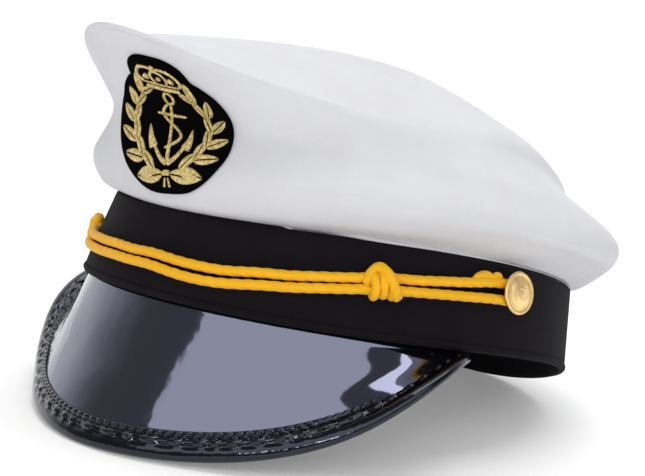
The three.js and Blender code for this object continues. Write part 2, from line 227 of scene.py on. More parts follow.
@dataclass(frozen=True)
class CapForm:
    """The driving sizes of the cap in mm, and the surfaces that follow from them."""

    clearance: float = 0.3
    half_width: float = 91.0
    half_length: float = 99.0
    band_height: float = 32.5
    band_wall: float = 2.0
    draw_in: float = 5.1
    crown_wall: float = 1.8
    crown_height: float = 52.4
    lean: float = 30.5
    roll: float = 12.0
    roll_height: float = 11.9
    crest: float = 8.0
    top: float = 86.6
    top_forward: float = 4.0
    twist_deg: float = -11.0
    fall: float = 1.45
    under_share: float = 0.55
    waist_share: float = 0.68
    crest_ring: float = 0.93
    top_rings: tuple[float, ...] = (0.72, 0.45, 0.2, 0.0)
    peak_length: float = 50.3
    peak_half_span_deg: float = 73.85
    peak_drop: float = 1.8
    peak_tuck: float = 7.0
    peak_wall: float = 0.95
    peak_fan: float = 0.55
    peak_roundness: float = 1.7
    peak_fullness: float = 0.51
    peak_slope_deg: Triple = (75.6, 30.5, -106.6)
    button_deg: float = 81.6
    button_shank: float = 2.0

    # The crown's hem is tucked in behind the band's top edge, and its under side stays clear of that edge
    tuck: float = 0.9
    under_lift: float = 1.6

    # The flat face under the badge: height in mm, angle and width in radians, share up the line and width
    flat_height: float = 3.5
    flat_angle: float = -0.229
    flat_reach: float = 0.161
    flat_share: float = 0.359
    flat_rise: float = 0.085

    # Rise of the band's edges by waves round the head, as shares of its height: waves, bottom, top
    band_waves: tuple[Triple, ...] = ((1, 0.0, -0.091), (2, -0.166, -0.108), (3, 0.04, -0.01))

    # Crown sections at equal angles from front to rear: under, roll out, waist out, rim out, rim up, crest up
    crown_sections: tuple[tuple[float, ...], ...] = (
        (0.02, 0.56, 0.86, 1.00, 1.00, 0.08),
        (0.02, 1.01, 0.69, 0.58, 0.82, 0.33),
        (0.15, 1.27, 0.70, 0.20, 0.68, 0.64),
        (0.36, 1.30, 0.75, -0.10, 0.66, 1.07),
        (0.44, 1.17, 0.91, -0.23, 0.60, 0.92),
        (0.09, 0.97, 0.82, -0.25, 0.60, 0.91),
        (0.02, 0.95, 0.80, -0.25, 0.60, 0.89),
    )

    def band_point(self, angle: Array, share: Array) -> Array:
        """Points of the band's outer face: an oval that draws in towards its top, between two edges that rise
        and fall as sums of cosines of the angle.

        Args:
            angle: angle from the front towards the wearer's left, in radians.
            share: share of the band's height.

        Returns:
            Points in mm.
        """
        low = sum(w[1] * np.cos(w[0] * angle) for w in self.band_waves)
        high = sum(w[2] * np.cos(w[0] * angle) for w in self.band_waves)
        rise = share - 0.5 + (1 - share) * low + share * high
        return vector(
            (self.half_width - self.draw_in * share) * np.sin(angle),
            -(self.half_length - self.draw_in * share) * np.cos(angle),
            self.band_height * rise,
        )

    def outward(self, angle: Array) -> Array:
        """Level directions out of the band at angles from the front."""
        return unit(vector(self.half_length * np.sin(angle), -self.half_width * np.cos(angle), 0.0))

    def band_normal(self, angle: Array) -> Array:
        """Directions out of the band's face: the way round the head crossed with the way up the face."""
        slope = self.band_point(angle, 1.0) - self.band_point(angle, 0.0)
        around = np.cross(np.array([0.0, 0.0, 1.0]), self.outward(angle))
        return unit(np.cross(around, slope))

    def section(self, name: int, angle: Array) -> Array:
        """One column of the crown's sections, smooth in the angle from the high point of its front.

        Args:
            name: the column's place in crown_sections.
            angle: angle from the cap's front, in radians.

        Returns:
            Shares of the size that the column follows.
        """
        values = np.array([row[name] for row in self.crown_sections])
        last = len(values) - 1
        place = np.abs(wrapped(angle - math.radians(self.twist_deg))) / math.pi * last
        row = np.minimum(place.astype(int), last - 1)
        near = last - np.abs(last - np.abs(row[..., None] + np.arange(-1, 3)))
        return (basis(place - row) * values[near]).sum(axis=-1)

    def crown_controls(self, angle: Array) -> Array:
        """The points that the crown's outer line passes at each angle: seam, under side, roll, waist, rim,
        crest and the rings of the top, which fall from its middle by a power of their share of the way out.

        Args:
            angle: angles in radians.

        Returns:
            An array whose first axis runs up the line.
        """
        angle = np.asarray(angle, float)
        under, roll_out, waist_out, rim_out, rim_up, crest_up = (self.section(i, angle) for i in range(6))
        start, out = self.band_point(angle, 1.0), self.outward(angle)
        seam = self.clearance

        def beside(across: Array | float, rise: Array | float) -> Array:
            """A point beside the band's top edge."""
            return start + out * column(across) + vector(0.0, 0.0, 1.0) * column(rise)

        rim = beside(self.lean * rim_out, self.crown_height * rim_up)
        crest_z = rim[..., 2] + self.crest * crest_up
        middle = np.array([0.0, -self.top_forward, self.top])

        def ring(share: float) -> Array:
            """A point of the top, a share of the way from its middle to the rim."""
            point = middle + (rim - middle) * share
            point[..., 2] = self.top + (crest_z - self.top) * (share / self.crest_ring) ** self.fall
            return point

        flat = np.zeros_like(under)
        return np.stack(
            [
                beside(flat - self.band_wall, flat + seam),
                beside(flat - self.tuck, flat + 2 * seam),
                beside(self.roll * roll_out * self.under_share, self.roll * under + seam + self.under_lift),
                beside(self.roll * roll_out, flat + self.roll_height),
                beside(self.roll * waist_out, self.crown_height * rim_up * self.waist_share),
                rim,
                ring(self.crest_ring),
                *(ring(share) for share in self.top_rings),
            ]
        )

    def crown_point(self, angle: Array, share: Array, lift: float | Array = 0.0) -> Array:
        """Points of the crown's outer face, moved out along its normal.

        Args:
            angle: angles in radians.
            share: share of the way from the band to the top's middle, of the same shape.
            lift: how far out of the face, in mm.

        Returns:
            Points in mm.
        """
        step, turn = 0.012, TURN / 64
        controls = self.crown_controls(angle)
        point = catmull(controls, share)
        above, below = (catmull(controls, np.clip(share + way, 0, 1)) for way in (step, -step))
        after, before = (catmull(self.crown_controls(angle + way), share) for way in (turn, -turn))
        return point + unit(np.cross(after - before, above - below)) * column(lift)

    def flattened(self, angle: Array, share: Array) -> Array:
        """How far in mm the stiff badge pushes the crown's front out: a bell in angle by a bell in share."""
        across = bump_at(angle, self.flat_angle, self.flat_reach)
        return self.flat_height * across * bump_at(share, self.flat_share, self.flat_rise)

    def peak_ray(self, along: Array) -> tuple[Array, Array, Array]:
        """Where the peak leaves the band's inside, the way its face runs from there, and how far.

        Args:
            along: place along the peak, from -1 at the wearer's right end to 1 at the left.

        Returns:
            Root points, unit ways down the face, and reaches in mm.
        """
        angle = along * math.radians(self.peak_half_span_deg)
        inside = self.band_wall + self.clearance
        root = self.band_point(angle, 0.0) - self.outward(angle) * inside - np.array([0, 0, self.peak_drop])
        middle, square, fourth = self.peak_slope_deg
        slope = np.radians(middle + square * along**2 + fourth * along**4)
        full = np.maximum(1 - np.abs(along) ** self.peak_roundness, 0)
        reach = self.peak_length * full**self.peak_fullness
        fan = self.peak_fan * angle
        way = vector(np.sin(fan) * np.cos(slope), -np.cos(fan) * np.cos(slope), -np.sin(slope))
        return root, way, reach

    def peak_point(self, along: Array, share: Array) -> Array:
        """Points of the peak's outer face: straight lines from the band to its outer edge.

        Args:
            along: place along the peak.
            share: share of the way from the band to the edge.

        Returns:
            Points in mm.
        """
        root, way, reach = self.peak_ray(along)
        return root + way * column(reach * share)

    def peak_normal(self, along: Array, share: Array) -> Array:
        """Directions out of the peak's face: its way down crossed with its way along."""
        step = 0.01
        low, high = np.maximum(along - step, step - 1), np.minimum(along + step, 1 - step)
        around = self.peak_point(high, share) - self.peak_point(low, share)
        return unit(np.cross(self.peak_ray((low + high) / 2)[1], around))


# Meshes from grids


def link(made: Piece) -> None:
    """Puts a piece in the scene."""
    bpy.context.scene.collection.objects.link(made)


@dataclass
class Patchwork:
    """Gathers grids of points into one mesh."""

    points: list[Array] = field(default_factory=list)
    faces: list[Array] = field(default_factory=list)
    maps: list[Array] = field(default_factory=list)
    lays: list[Array] = field(default_factory=list)
    slots: list[Array] = field(default_factory=list)

    def add(
        self,
        grid: Array,
        uv: Array | None = None,
        wrap: tuple[bool, bool] = (True, True),
        lay: Array | None = None,
        slot: Array | int = 0,
    ) -> None:
        """Adds a closed skin: four-sided faces between neighbours on the grid, turned to point outwards by
        the sign of the volume that they hold.

        Args:
            grid: points, rows by columns by 3, in mm.
            uv: the map in mm, with a further row or column where the grid wraps.
            wrap: whether rows and columns wrap.
            lay: a vector at each point, for patterns that follow the piece.
            slot: material slot, one for all or one for each column of faces.
        """
        rows, cols = grid.shape[:2]
        tall, wide = rows - (not wrap[0]), cols - (not wrap[1])
        i, j = np.meshgrid(np.arange(tall), np.arange(wide), indexing="ij")
        corners = [(i, j), (i + 1, j), (i + 1, j + 1), (i, j + 1)]
        faces = np.stack([(a % rows) * cols + b % cols for a, b in corners], axis=-1).reshape(-1, 4)
        flat = grid.reshape(-1, 3)
        p, q, r, s = (flat[faces[:, k]] for k in range(4))
        volume = (p * np.cross(q, r)).sum() + (p * np.cross(r, s)).sum()
        order = slice(None, None, -1) if volume < 0 else slice(None)
        if uv is None:
            uv = np.zeros((tall + 1, wide + 1, 2))
        cells = np.stack([uv[a, b] for a, b in corners], axis=2).reshape(-1, 4, 2)
        self.faces.append(faces[:, order] + sum(len(x) for x in self.points))
        self.maps.append(cells[:, order])
        self.points.append(flat)
        self.lays.append(np.zeros_like(flat) if lay is None else lay.reshape(-1, 3))
        self.slots.append(np.broadcast_to(np.asarray(slot), (tall, wide)).reshape(-1))

    def build(self, name: str, rest: RestPose, flatten: bool = False) -> Piece:
        """Makes the mesh and its object, with doubled points merged so that poles and seams are closed.

        Args:
            name: the piece's name.
            rest: how the cap lies.
            flatten: whether what would lie under the surface is pressed flat on it.

        Returns:
            The object, at the origin.
        """
        placed = rest.place(np.concatenate(self.points))
        if flatten:
            placed[:, 2] = np.maximum(placed[:, 2], 0.0)
        mesh = bpy.data.meshes.new(name)
        mesh.from_pydata(placed, [], np.concatenate(self.faces))
        layer = mesh.uv_layers.new(name="cloth_map")
        layer.data.foreach_set("uv", (np.concatenate(self.maps) * MM).astype(np.float32).ravel())
        lay = mesh.attributes.new("lay", "FLOAT_VECTOR", "POINT")
        lay.data.foreach_set("vector", (np.concatenate(self.lays) * MM).astype(np.float32).ravel())
        mesh.polygons.foreach_set("material_index", np.concatenate(self.slots).astype(np.int32))
        mesh.polygons.foreach_set("use_smooth", np.ones(len(mesh.polygons), bool))
        work = bmesh.new()
        work.from_mesh(mesh)
        bmesh.ops.remove_doubles(work, verts=work.verts, dist=0.002 * MM)
        bmesh.ops.dissolve_degenerate(work, edges=work.edges, dist=0.002 * MM)
        bmesh.ops.holes_fill(work, edges=[edge for edge in work.edges if len(edge.link_faces) == 1])
        bmesh.ops.delete(work, geom=[edge for edge in work.edges if not edge.link_faces], context="EDGES")
        work.to_mesh(mesh)
        work.free()
        mesh.validate()
        made = bpy.data.objects.new(name, mesh)
        link(made)
        return made


def capped(grid: Array) -> Array:
    """A grid whose first and last rows are closed by a point at their middle."""
    ends = [np.repeat(grid[i : i + 1].mean(axis=1, keepdims=True), grid.shape[1], axis=1) for i in (0, -1)]
    return np.concatenate([ends[0][:1], grid, ends[1][-1:]]) if len(grid) > 1 else grid


# Finishes


def linear(hex_colour: str) -> tuple[float, float, float, float]:
    """A colour for a shader socket: linear red, green and blue from sRGB hex, and an alpha of 1."""
    parts = [int(hex_colour[i : i + 2], 16) / 255 for i in (1, 3, 5)]
    red, green, blue = (c / 12.92 if c <= 0.04045 else ((c + 0.055) / 1.055) ** 2.4 for c in parts)
    return red, green, blue, 1.0


def add_node(tree: Tree, kind: str, inputs: dict | None = None, **settings) -> Node:
    """Adds a node with its settings and links.

    Args:
        tree: the material's node tree.
        kind: the node's type name.
        inputs: input names or places to a value, or to the output that feeds them.
        **settings: properties of the node.

    Returns:
        The node.
    """
    node = tree.nodes.new(kind)
    for name, value in settings.items():
        setattr(node, name, value)
    for socket, source in (inputs or {}).items():
        if isinstance(source, Socket):
            tree.links.new(source, node.inputs[socket])
        else:
            node.inputs[socket].default_value = source
    return node


def fill(node: Node, values: dict) -> None:
    """Sets a node's inputs by name."""
    for name, value in values.items():
        node.inputs[name].default_value = value


def calculate(tree: Tree, operation: str, *values: float | Socket) -> Socket:
    """The result of a calculation on numbers or outputs."""
    return add_node(tree, "ShaderNodeMath", dict(enumerate(values)), operation=operation).outputs[0]


def noise(tree: Tree, grain: float, detail: float, roughness: float = 0.5) -> Socket:
    """Noise that stays with the piece.

    Args:
        tree: the material's node tree.
        grain: size of its patches in mm.
        detail: how many finer layers it has.
        roughness: how strong each finer layer is.

    Returns:
        The output, from 0 to 1.
    """
    at = add_node(tree, "ShaderNodeTexCoord").outputs["Object"]
    inputs = {"Vector": at, "Scale": 1 / (grain * MM), "Detail": detail, "Roughness": roughness}
    return add_node(tree, "ShaderNodeTexNoise", inputs).outputs["Fac"]


def remap(
    tree: Tree, value: Socket, source: Range, target: Range, smooth: bool = False
) -> Socket:
    """Carries a value from one range to another.

    Args:
        tree: the node tree.
        value: the output to carry.
        source: the range that it comes in.
        target: the range that it goes to.
        smooth: whether it eases in and out at the ends.

    Returns:
        The output.
    """
    names = ("Value", "From Min", "From Max", "To Min", "To Max")
    ranges = dict(zip(names, (value, *source, *target)))
    easing = "SMOOTHSTEP" if smooth else "LINEAR"
    return add_node(tree, "ShaderNodeMapRange", ranges, interpolation_type=easing).outputs[0]


def blend(tree: Tree, shader: Node, share: Socket, first: str, last: str) -> None:
    """Feeds a shader's colour with a mix of two colours, given as sRGB hex, by a share."""
    mixed = add_node(tree, "ShaderNodeMix", {0: share, 6: linear(first), 7: linear(last)}, data_type="RGBA")
    tree.links.new(mixed.outputs[2], shader.inputs["Base Color"])


@dataclass(frozen=True)
class Finish:
    """A material: its name, its colour as sRGB hex and its roughness."""

    name: str
    colour: str
    roughness: float

    def make(self) -> bpy.types.Material:
        """Makes the material once, and gives it back after that."""
        if self.name in bpy.data.materials:
            return bpy.data.materials[self.name]
        made = bpy.data.materials.new(self.name)
        made.use_nodes = True
        shader = made.node_tree.nodes["Principled BSDF"]
        fill(shader, {"Base Color": linear(self.colour), "Roughness": self.roughness})
        self.dress(made.node_tree, shader)
        return made

    def dress(self, tree: Tree, shader: Node) -> None:
        """Adds what the finish needs beyond its colour and roughness."""

    def mottle(self, tree: Tree, shader: Node, other: str, grain: float, much: float) -> None:
        """Lets the colour wander towards another, by a share at most, over patches of a size in mm."""
        share = remap(tree, noise(tree, grain, 4.0, 0.6), (0.35, 0.7), (0.0, much))
        blend(tree, shader, share, self.colour, other)


def raise_by(tree: Tree, shader: Node, heights: list[tuple]) -> None:
    """Feeds a shader's normal from one or more heights, each a bump on top of the one before.

    Args:
        tree: the material's node tree.
        shader: the shader to feed.
        heights: outputs that give a height from 0 to 1, each with its depth in mm.
    """
    normal = None
    for source, depth in heights:
        inputs = {"Height": source, "Distance": depth * MM, "Strength": 1.0}
        if normal is not None:
            inputs["Normal"] = normal
        normal = add_node(tree, "ShaderNodeBump", inputs).outputs[0]
    tree.links.new(normal, shader.inputs["Normal"])


@dataclass(frozen=True)
class WovenCloth(Finish):
    """Woven cloth, matt, with its threads crossing along the piece's own map."""

    spacing: float = 0.6
    depth: float = 0.05
    weave: Weave = Weave.PLAIN
    other: str = "#ffffff"
    much: float = 0.3
    sheen: float = 0.05
    sheen_roughness: float = 0.45
    gloss: float = 0.1
    patch_size: float = 30.0
    nap_size: float = 1.4
    slack_size: float = 26.0
    slack_depth: float = 0.5

    def dress(self, tree: Tree, shader: Node) -> None:
        """Adds the weave, which is the sines across both sets of threads multiplied, a nap and some slack."""
        looks = {
            "Sheen Weight": self.sheen,
            "Sheen Roughness": self.sheen_roughness,
            "Specular IOR Level": self.gloss,
        }
        fill(shader, looks)
        self.mottle(tree, shader, self.other, self.patch_size, self.much)
        where = add_node(tree, "ShaderNodeUVMap", uv_map="cloth_map").outputs[0]
        axes = add_node(tree, "ShaderNodeSeparateXYZ", {0: where}).outputs
        waves = [calculate(tree, "MULTIPLY", axes[i], math.pi / (self.spacing * MM)) for i in (0, 1)]
        if self.weave is Weave.TWILL:
            waves[1] = calculate(tree, "ADD", *waves)
        crossed = calculate(tree, "MULTIPLY", *(calculate(tree, "SINE", wave) for wave in waves))
        nap = noise(tree, self.nap_size, 3.0)
        slack = noise(tree, self.slack_size, 2.0)
        raise_by(tree, shader, [(slack, self.slack_depth), (nap, self.depth), (crossed, self.depth / 2)])


@dataclass(frozen=True)
class PatentVinyl(Finish):
    """Polished black vinyl: a hard, faintly blue gloss over black, a little wavy, so reflections have ragged
    edges."""

    wobble: float = 0.3
    grain: float = 16.0
    index: float = 2.5
    coat: float = 0.2
    coat_roughness: float = 0.03
    tint: Triple = (0.68, 0.72, 1.0)

    def dress(self, tree: Tree, shader: Node) -> None:
        """Adds the gloss, a thin clear coat and the slow waves of a thin sheet."""
        looks = {
            "IOR": self.index,
            "Specular Tint": (*self.tint, 1.0),
            "Coat Weight": self.coat,
            "Coat Roughness": self.coat_roughness,
        }
        fill(shader, looks)
        raise_by(tree, shader, [(noise(tree, self.grain, 2.5), self.wobble)])


@dataclass(frozen=True)
class TwistedCord(Finish):
    """Twisted rayon cord: saturated yolk yellow with fine filaments that run along each ply."""

    other: str = "#ea9c0a"
    much: float = 0.55
    furrow: float = 0.16

    # A filament is too fine to show, so they are drawn in bundles 0.35 mm across: patches in a metre
    bundles: Triple = (300.0, 2900.0, 2900.0)

    def dress(self, tree: Tree, shader: Node) -> None:
        """Adds filaments from the lay of the twist, long along the ply and fine across it."""
        fill(shader, {"Sheen Weight": 0.08, "Specular IOR Level": 0.2})
        lay = add_node(tree, "ShaderNodeAttribute", attribute_name="lay").outputs["Vector"]
        scaled = add_node(tree, "ShaderNodeVectorMath", {0: lay, 1: self.bundles}, operation="MULTIPLY")
        inputs = {"Vector": scaled.outputs[0], "Scale": 1.0, "Detail": 2.0}
        fine = add_node(tree, "ShaderNodeTexNoise", inputs).outputs["Fac"]
        blend(tree, shader, remap(tree, fine, (0.35, 0.75), (0.0, self.much)), self.colour, self.other)
        raise_by(tree, shader, [(fine, self.furrow)])


@dataclass(frozen=True)
class GiltMetal(Finish):
    """Thinly gilt stamped brass: pale gold, a little worn, so its gloss and colour wander."""

    worn: str = "#d0a866"

    def dress(self, tree: Tree, shader: Node) -> None:
        """Adds wear to the colour and a fine unevenness."""
        shader.inputs["Metallic"].default_value = 1.0
        self.mottle(tree, shader, self.worn, 3.0, 0.6)
        raise_by(tree, shader, [(noise(tree, 1.6, 3.0), 0.05)])


@dataclass(frozen=True)
class GoldThread(Finish):
    """Metallised embroidery thread in satin stitch: bright gold broken by the gaps between its threads and by
    specks of painted shade.
    """

    # Dark gold that paints shade into random specks, standing in for the gaps between threads
    shadow: str = "#7d6428"
    spacing: float = 0.5
    slant: float = 0.5
    depth: float = 0.07

    def dress(self, tree: Tree, shader: Node) -> None:
        """Adds threads across each stroke, slanted, and darker gold specks at random: painted shade for the
        gaps between threads.
        """
        shader.inputs["Metallic"].default_value = 0.35
        self.mottle(tree, shader, self.shadow, 0.9, 0.85)
        where = add_node(tree, "ShaderNodeUVMap", uv_map="cloth_map").outputs[0]
        axes = add_node(tree, "ShaderNodeSeparateXYZ", {0: where}).outputs
        slant = calculate(tree, "MULTIPLY_ADD", axes[1], self.slant, axes[0])
        angle = calculate(tree, "MULTIPLY", slant, TURN / (self.spacing * MM))
        raise_by(tree, shader, [(calculate(tree, "SINE", angle), self.depth)])


@dataclass(frozen=True)
class Felt(Finish):
    """Pressed wool felt: the deepest black, with a short nap."""

    def dress(self, tree: Tree, shader: Node) -> None:
        """Adds the nap as fine noise."""
        shader.inputs["IOR"].default_value = 1.08
        raise_by(tree, shader, [(noise(tree, 0.8, 4.0), 0.1)])


@dataclass(frozen=True)
class Finishes:
    """Every finish on the cap."""

    # Cotton and polyester poplin: even, bright and matt, its threads too fine to show, drawn 0.6 mm apart
    white: Finish = WovenCloth("white_poplin", "#cdcdd1", 0.9, 0.6, 0.04, Weave.PLAIN, "#d7d8dc", 0.5, 0.0)
    # Black twill: matt with a faint purple-grey bloom on the side that faces the light
    black: Finish = WovenCloth("black_twill", "#120f13", 0.9, 0.7, 0.06, Weave.TWILL, "#1a161b", 0.6, 0.02)
    # Patent vinyl: mirror-like, shows the lamps as broad grey-blue shapes
    patent: Finish = PatentVinyl("patent_vinyl", "#0b0c10", 0.07)
    # The sheet's back: its knitted carrier, dull black
    backing: Finish = WovenCloth("knit_backing", "#141315", 0.9, 0.8, 0.08, Weave.PLAIN, "#1b1a1d", 0.5, 0.02)
    # Soft vinyl tape: glossy black that breaks into small lights on its puckers
    tape: Finish = PatentVinyl("vinyl_tape", "#050507", 0.12, 0.12, 2.5, 1.5, 0.2)
    # Black polyester sewing thread: small dull beads in the tape's gloss
    thread: Finish = TwistedCord("black_thread", "#101012", 0.6, "#1c1c1f")
    # Twisted rayon: warm yolk yellow that deepens to orange between its plies
    cord: Finish = TwistedCord("gold_rayon_cord", "#f2b916", 0.6)
    # Gilt brass: pale soft gold without a sharp reflection, darker where the gilding has gone
    gilt: Finish = GiltMetal("gilt_brass", "#ffe2a4", 0.5)
    # Embroidery thread: pale gold with dark specks of painted shade, which reads as stitches against the felt
    gold: Finish = GoldThread("gold_embroidery_thread", "#f8e096", 0.45)
    # Wool felt: takes all light, so the gold stands out from it
    felt: Finish = Felt("wool_felt", "#060606", 1.0)


# Sub-assemblies


@dataclass
class SubAssembly:
    """What every sub-assembly shares: the cap's form, how it rests and its finishes."""

    form: CapForm
    rest: RestPose
    finishes: Finishes

    def settle(
        self,
        work: Patchwork,
        name: str,
        finishes: list[Finish],
        slot: str,
        nodes: list[str],
        flatten: bool = False,
    ) -> Piece:
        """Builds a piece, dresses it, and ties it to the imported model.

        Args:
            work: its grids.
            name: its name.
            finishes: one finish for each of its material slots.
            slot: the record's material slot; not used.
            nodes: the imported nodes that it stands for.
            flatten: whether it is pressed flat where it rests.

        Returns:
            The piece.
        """
        made = work.build(name, self.rest, flatten)
        for finish in finishes:
            made.data.materials.append(finish.make())
        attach(made, "root")
        if nodes:
            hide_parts(*nodes)
        log.info("%s: %d faces, stands for %s", name, len(made.data.polygons), ", ".join(nodes) or "no node")
        return made


@dataclass
class Crown(SubAssembly):
    """The soft white top: one cloth wall with a raised front, a lower roll and a puffed top."""

    stations: int = 288
    outer_rows: int = 132
    inner_rows: int = 44
    wave_height: float = 0.22
    gather_height: float = 0.10
    gathers: int = 46

    # Soft folds: angle from the front in degrees, its width; middle and width up the line; height in mm
    folds: tuple[tuple[float, float, float, float, float], ...] = (
        (62, 16, 0.42, 0.030, 0.7),
        (98, 10, 0.30, 0.045, -0.9),
        (118, 9, 0.36, 0.050, 0.8),
        (141, 12, 0.28, 0.040, -1.2),
        (160, 8, 0.33, 0.060, 1.0),
        (180, 10, 0.30, 0.050, -1.3),
        (203, 9, 0.35, 0.050, 1.0),
        (226, 12, 0.29, 0.045, -1.1),
        (251, 10, 0.34, 0.050, 0.8),
        (285, 14, 0.31, 0.040, -0.8),
        (318, 15, 0.44, 0.030, 0.6),
    )

    def slack(self, angle: Array, share: Array) -> Array:
        """How far the cloth stands out of its plain form: bells along a few folds, gathers over the seam, and
        slow waves that fade at the seam and the top's middle.

        Args:
            angle: angles in radians.
            share: shares up the line.

        Returns:
            Heights in mm.
        """
        high = np.zeros(np.broadcast_shapes(angle.shape, share.shape))
        for turn, wide, middle, tall, height in self.folds:
            away = np.degrees(wrapped(angle - math.radians(turn)))
            high = high + height * bump_at(away, 0.0, wide) * bump_at(share + away * 0.0012, middle, tall)
        fade = np.clip(share / 0.12, 0, 1) * np.clip((1 - share) / 0.3, 0, 1)
        waves = np.sin(3 * angle + 7 * share + 0.6) + np.sin(5 * angle - 11 * share + 2.1)
        gathers = np.sin(self.gathers * angle + 3 * np.sin(5 * angle)) * bump_at(share, 0.13, 0.035)
        fine = self.wave_height * fade * waves + self.gather_height * gathers
        return high + fine + self.form.flattened(wrapped(angle), share)

    def build(self) -> Piece:
        """Builds the crown: its outer line at every angle, and the same line a wall's thickness inside."""
        angle = full_turn(self.stations)[:, None]
        outer = np.linspace(0, 1, self.outer_rows)[None, :]
        inner = np.linspace(1, 0, self.inner_rows)[None, :]
        face = self.form.crown_point(angle, outer, self.slack(angle, outer))
        back = self.form.crown_point(angle, inner, -self.form.crown_wall)
        face[:, -1] = face[:, -1].mean(axis=0)
        back[:, 0] = face[:, -1] - np.array([0.0, 0.0, self.form.crown_wall])
        grid = np.concatenate([face, back], axis=1)
        down = run(grid[0])
        around = np.linspace(0, TURN * self.form.half_width, self.stations + 1)
        work = Patchwork()
        work.add(grid, flat_map(around, np.append(down, down[-1] + self.form.crown_wall)))
        made = self.settle(work, "crown_cloth", [self.finishes.white], "white_cloth", ["crown"])
        return made


@dataclass
class Band(SubAssembly):
    """The black cloth band, with a hem folded round its lower edge."""

    stations: int = 384

    # Section of the band from its lower edge up the outer face and down the inner one: rise and inset, in mm
    section: tuple[Range, ...] = (
        (0.00, 0.95),
        (0.08, 0.35),
        (0.40, -0.15),
        (1.10, -0.48),
        (1.90, -0.48),
        (2.35, -0.25),
        (2.65, 0.42),
        (3.05, 0.12),
        (3.50, -0.04),
        (6.00, -0.02),
        (31.0, 0.00),
        (32.0, 0.10),
        (32.4, 0.50),
        (32.5, 1.10),
        (32.2, 1.75),
        (31.2, 2.00),
        (5.00, 2.00),
        (3.00, 2.10),
        (1.00, 2.15),
        (0.20, 1.80),
    )
    section_points: int = 84
    stitch: float = 3.1
    dip: float = 0.10
    wave: float = 0.18

    def build(self) -> Piece:
        """Builds the band: its section carried round the head, with the hem's stitches as slight dips."""
        profile = even(np.array(self.section), self.section_points, closed=True)
        rise, inset = profile[None, :, 0], profile[None, :, 1]
        angle = np.linspace(-math.pi, math.pi, self.stations, endpoint=False)[:, None]
        outside = inset < 1.0
        around = angle * self.form.half_width
        dips = self.dip * np.cos(TURN * around / self.stitch) * bump_at(rise, 2.6, 0.5)
        waves = self.wave * np.sin(9 * angle + rise / 9) * np.sin(4 * angle + 1.0) * np.clip(rise / 6, 0, 1)
        inset = inset + np.where(outside, dips + waves, 0.0)
        height = rise / self.form.band_height
        face = self.form.band_point(angle, height)
        grid = face - self.form.band_normal(angle) * column(inset)
        across = np.linspace(-math.pi, math.pi, self.stations + 1) * self.form.half_width
        work = Patchwork()
        work.add(grid, flat_map(across, run(np.concatenate([profile, profile[:1]]))))
        made = self.settle(work, "band_cloth", [self.finishes.black], "black_cloth", ["band"], flatten=True)
        girth = run(self.form.band_point(np.linspace(0, TURN, 721), np.full(721, 0.5)))[-1] * MM
        return made


